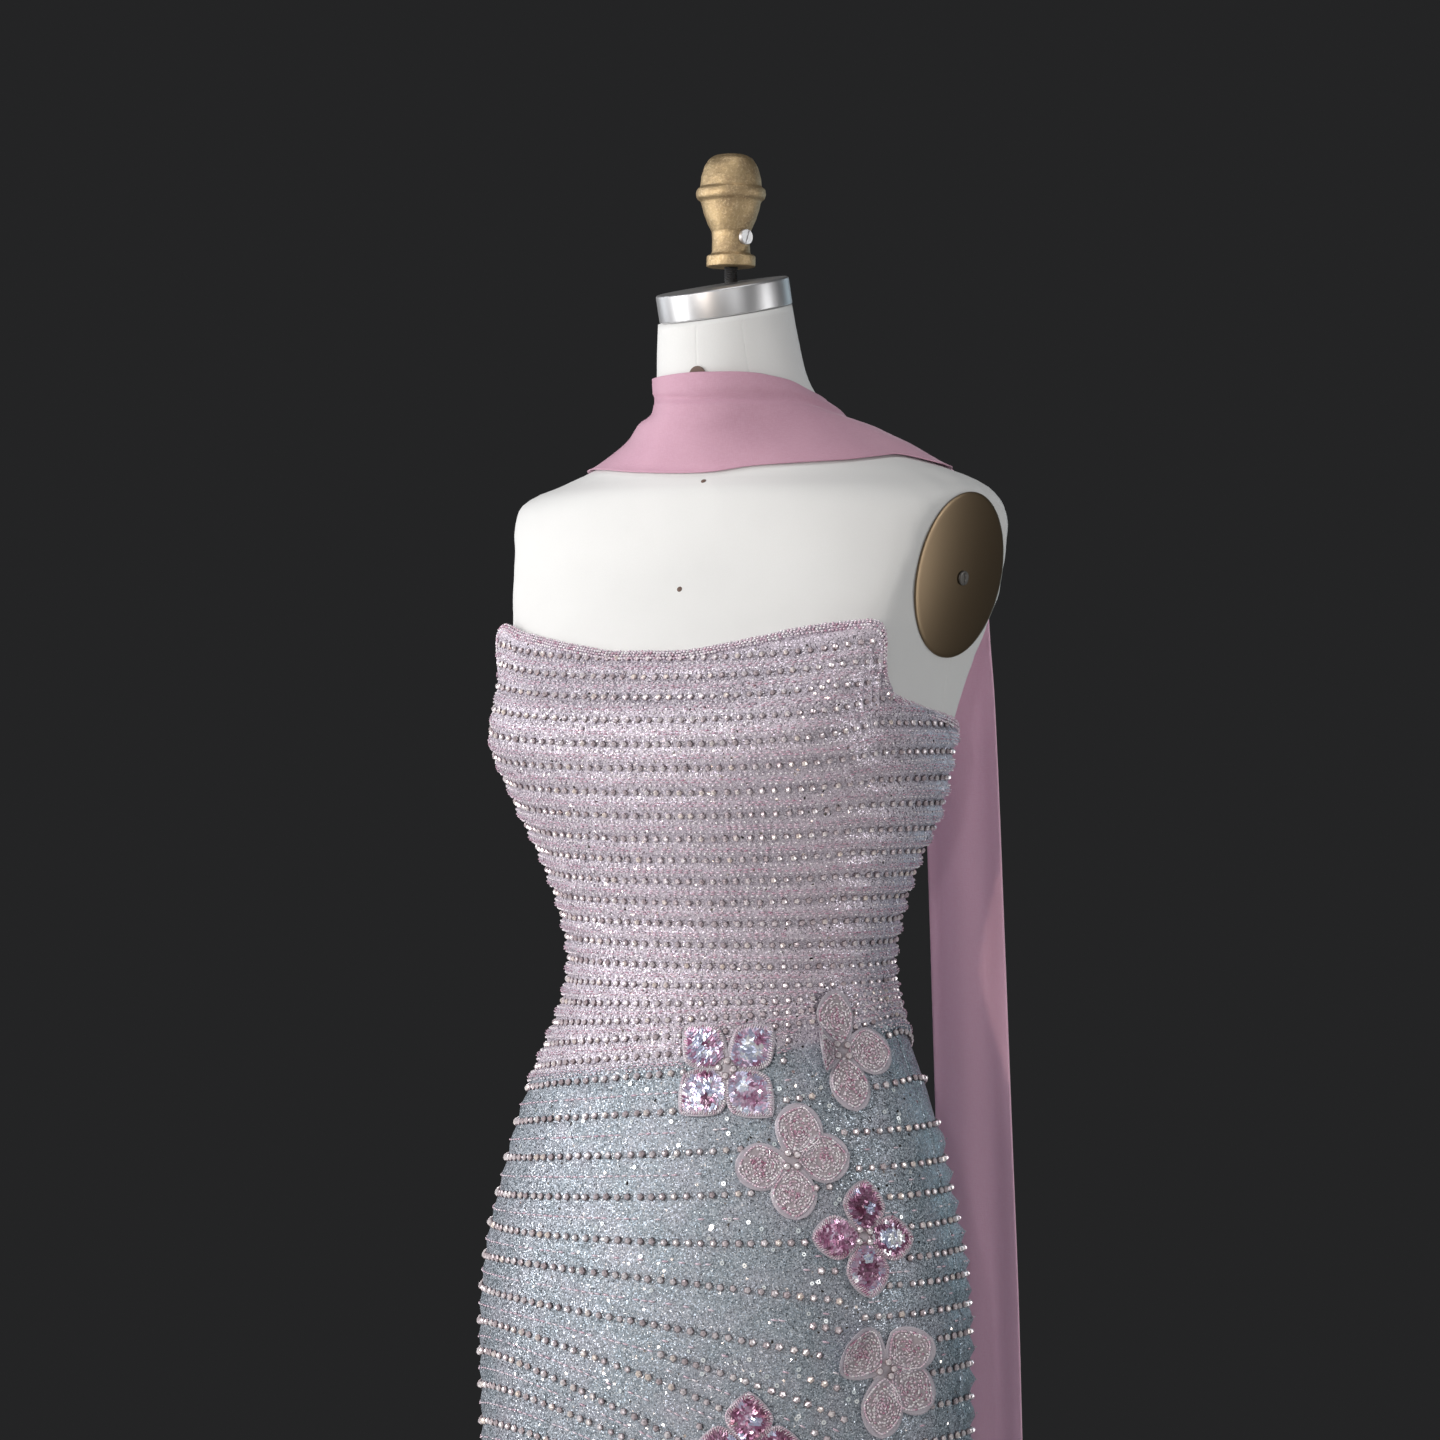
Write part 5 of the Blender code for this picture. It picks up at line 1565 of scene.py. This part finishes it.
# ---- ring sequins and the neckline's edge
RINGS_SCATTERED = 420
EDGE_LINES = ((-0.4, 1.6), (1.3, 3.2), (3.4, 4.2), (5.6, 4.6))  # how far under the edge, how far out


class GOWN_OT_sequins(bpy.types.Operator):
    """Scatter the ring sequins and bead the neckline's edge"""

    bl_idname = "gown.sequins"
    bl_label = "Ring sequins and edge"

    def execute(self, context):
        rng = np.random.default_rng(settings().seed + 3)
        count = RINGS_SCATTERED
        # three in four lie about the flowers, the others anywhere, and fewer the lower
        a = np.where(rng.random(count) < 0.75, rng.normal(38, 26, count), rng.uniform(-180, 180, count))
        a = (a + 180) % 360 - 180
        z = 1020 - 960 * rng.random(count) ** 1.35
        free = ~covered(a, z, 3.0)
        a, z = a[free], z[free]
        count = len(a)
        where, n = gown_point(a, z, 3.3), normals(a, z)
        out, on = n + rng.normal(0, 0.1, n.shape), np.cross(n, rng.normal(0, 1, n.shape))
        places = where, out, on, rng.uniform(0.9, 1.1, count), rng.uniform(0.7, 1, count)
        film = {"Film": finish(ring_film)}
        sown("ring_sequins", places, rings_tree(3.1, 1.1, 0.35, 8), film, "beaded_tulle")
        parts = []
        for down, out in EDGE_LINES:
            line = [(ALL_ROUND, neckline(ALL_ROUND) - down)]
            parts.append(gather(line, 2.6, out, rng, tinted(0.6, 0.25), jitter=0.15)[0])
        edge = merged(zip(*parts))
        sown("neckline_beads", edge, beads_tree(1.9, 2.1, 4), {"Glass": finish(bead_glass)}, "beaded_tulle")
        return {"FINISHED"}


# ---- the stage
VIEW_TURN = math.radians(29)  # how far round the camera stands from straight in front
VIEW_ACROSS = Vector((math.cos(VIEW_TURN), math.sin(VIEW_TURN), 0))
VIEW_TOWARDS = Vector((math.sin(VIEW_TURN), -math.cos(VIEW_TURN), 0))
CAMERA_AT, LENS, SENSOR = (-0.0078, 3.0, 1.2704), 105.6, 36
AIM = Vector((0, 0, 1.15))
FLOOR_RADIUS, FLOOR_SIDES, FLOOR_Z = 3.6, 64, -0.0005
# To the camera's right, towards it, up, width, height, watts.
LIGHTS = {
    "key": (-1.7, 1.9, 2.1, 0.9, 1.6, 26), "side": (-2.1, 0.3, 1.4, 0.6, 1.9, 30),
    "fill": (2.15, 0.5, 1.35, 0.6, 1.4, 11), "front": (0.9, 2.7, 1.5, 1.0, 1.4, 8.5),
    "top": (0.1, 0.6, 3.2, 1.2, 0.8, 9), "rim": (-1.6, -1.1, 1.9, 0.5, 1.6, 7),
    "back": (1.3, -1.6, 1.5, 0.7, 1.6, 3.5), "spark": (-0.35, 2.9, 1.75, 0.10, 0.10, 4),
    "glint": (-1.5, 2.4, 1.35, 0.09, 0.09, 9),
}
LIGHT_COLOURS = {"glint": (1.0, 0.83, 0.68), "back": (0.72, 0.90, 1.0), "rim": (0.94, 0.97, 1.0)}
PLAIN_LIGHT = (1.0, 0.995, 0.99)


def stage_place(right, near, up):
    return VIEW_ACROSS * right + VIEW_TOWARDS * near + Vector((0, 0, up))


class GOWN_OT_stage(bpy.types.Operator):
    """Lay the floor, light it and set up the camera"""

    bl_idname = "gown.stage"
    bl_label = "Stage"

    def execute(self, context):
        scene = context.scene
        mesh = bpy.data.meshes.new("floor")
        turn = [2 * math.pi * i / FLOOR_SIDES for i in range(FLOOR_SIDES)]
        rim = [(FLOOR_RADIUS * math.cos(t), FLOOR_RADIUS * math.sin(t), FLOOR_Z) for t in turn]
        mesh.from_pydata(rim, [], [tuple(range(FLOOR_SIDES))])
        mesh.materials.append(finish(floor))
        ground = bpy.data.objects.new("floor", mesh)
        scene.collection.objects.link(ground)
        world = bpy.data.worlds.new("studio")
        world.use_nodes = True
        back = world.node_tree.nodes["Background"]
        back.inputs["Color"].default_value = (0.80, 0.81, 0.84, 1)
        back.inputs["Strength"].default_value = 0.022
        scene.world = world
        for name, (right, near, up, width, height, watts) in LIGHTS.items():
            data = bpy.data.lights.new(name, "AREA")
            data.shape, data.size, data.size_y = "RECTANGLE", width, height
            data.energy = watts * settings().light
            data.color = LIGHT_COLOURS.get(name, PLAIN_LIGHT)
            lamp = bpy.data.objects.new(name, data)
            lamp.location = stage_place(right, near, up)
            lamp.rotation_euler = (AIM - lamp.location).to_track_quat("-Z", "Y").to_euler()
            scene.collection.objects.link(lamp)
        camera = bpy.data.objects.new("camera", bpy.data.cameras.new("camera"))
        camera.data.lens, camera.data.sensor_width = LENS, SENSOR
        camera.location = stage_place(*CAMERA_AT)
        camera.rotation_euler = (math.radians(90), 0, VIEW_TURN)
        scene.collection.objects.link(camera)
        scene.camera = camera
        scene.view_settings.view_transform = "Standard"
        return {"FINISHED"}


STEPS = (
    GOWN_OT_form, GOWN_OT_metal, GOWN_OT_cloth, GOWN_OT_stones, GOWN_OT_beads, GOWN_OT_sequins, GOWN_OT_flowers,
    GOWN_OT_scarf, GOWN_OT_stage,
)


class GOWN_PT_panel(bpy.types.Panel):
    """Everything that makes up the gown and its form"""

    bl_idname = "GOWN_PT_panel"
    bl_label = "Beaded evening gown"
    bl_space_type = "VIEW_3D"
    bl_region_type = "UI"
    bl_category = "Gown"

    def draw(self, context):
        for key in GownSettings.__annotations__:
            self.layout.prop(context.scene.gown_settings, key)
        for step in STEPS:
            self.layout.operator(step.bl_idname)


CLASSES = (GownSettings, *STEPS, GOWN_PT_panel)


def register():
    for cls in CLASSES:
        bpy.utils.register_class(cls)
    bpy.types.Scene.gown_settings = PointerProperty(type=GownSettings)


def unregister():
    del bpy.types.Scene.gown_settings
    for cls in reversed(CLASSES):
        bpy.utils.unregister_class(cls)


def main():
    register()
    for step in STEPS:
        group, name = step.bl_idname.split(".")
        getattr(getattr(bpy.ops, group), name)()


if __name__ == "__main__":
    main()
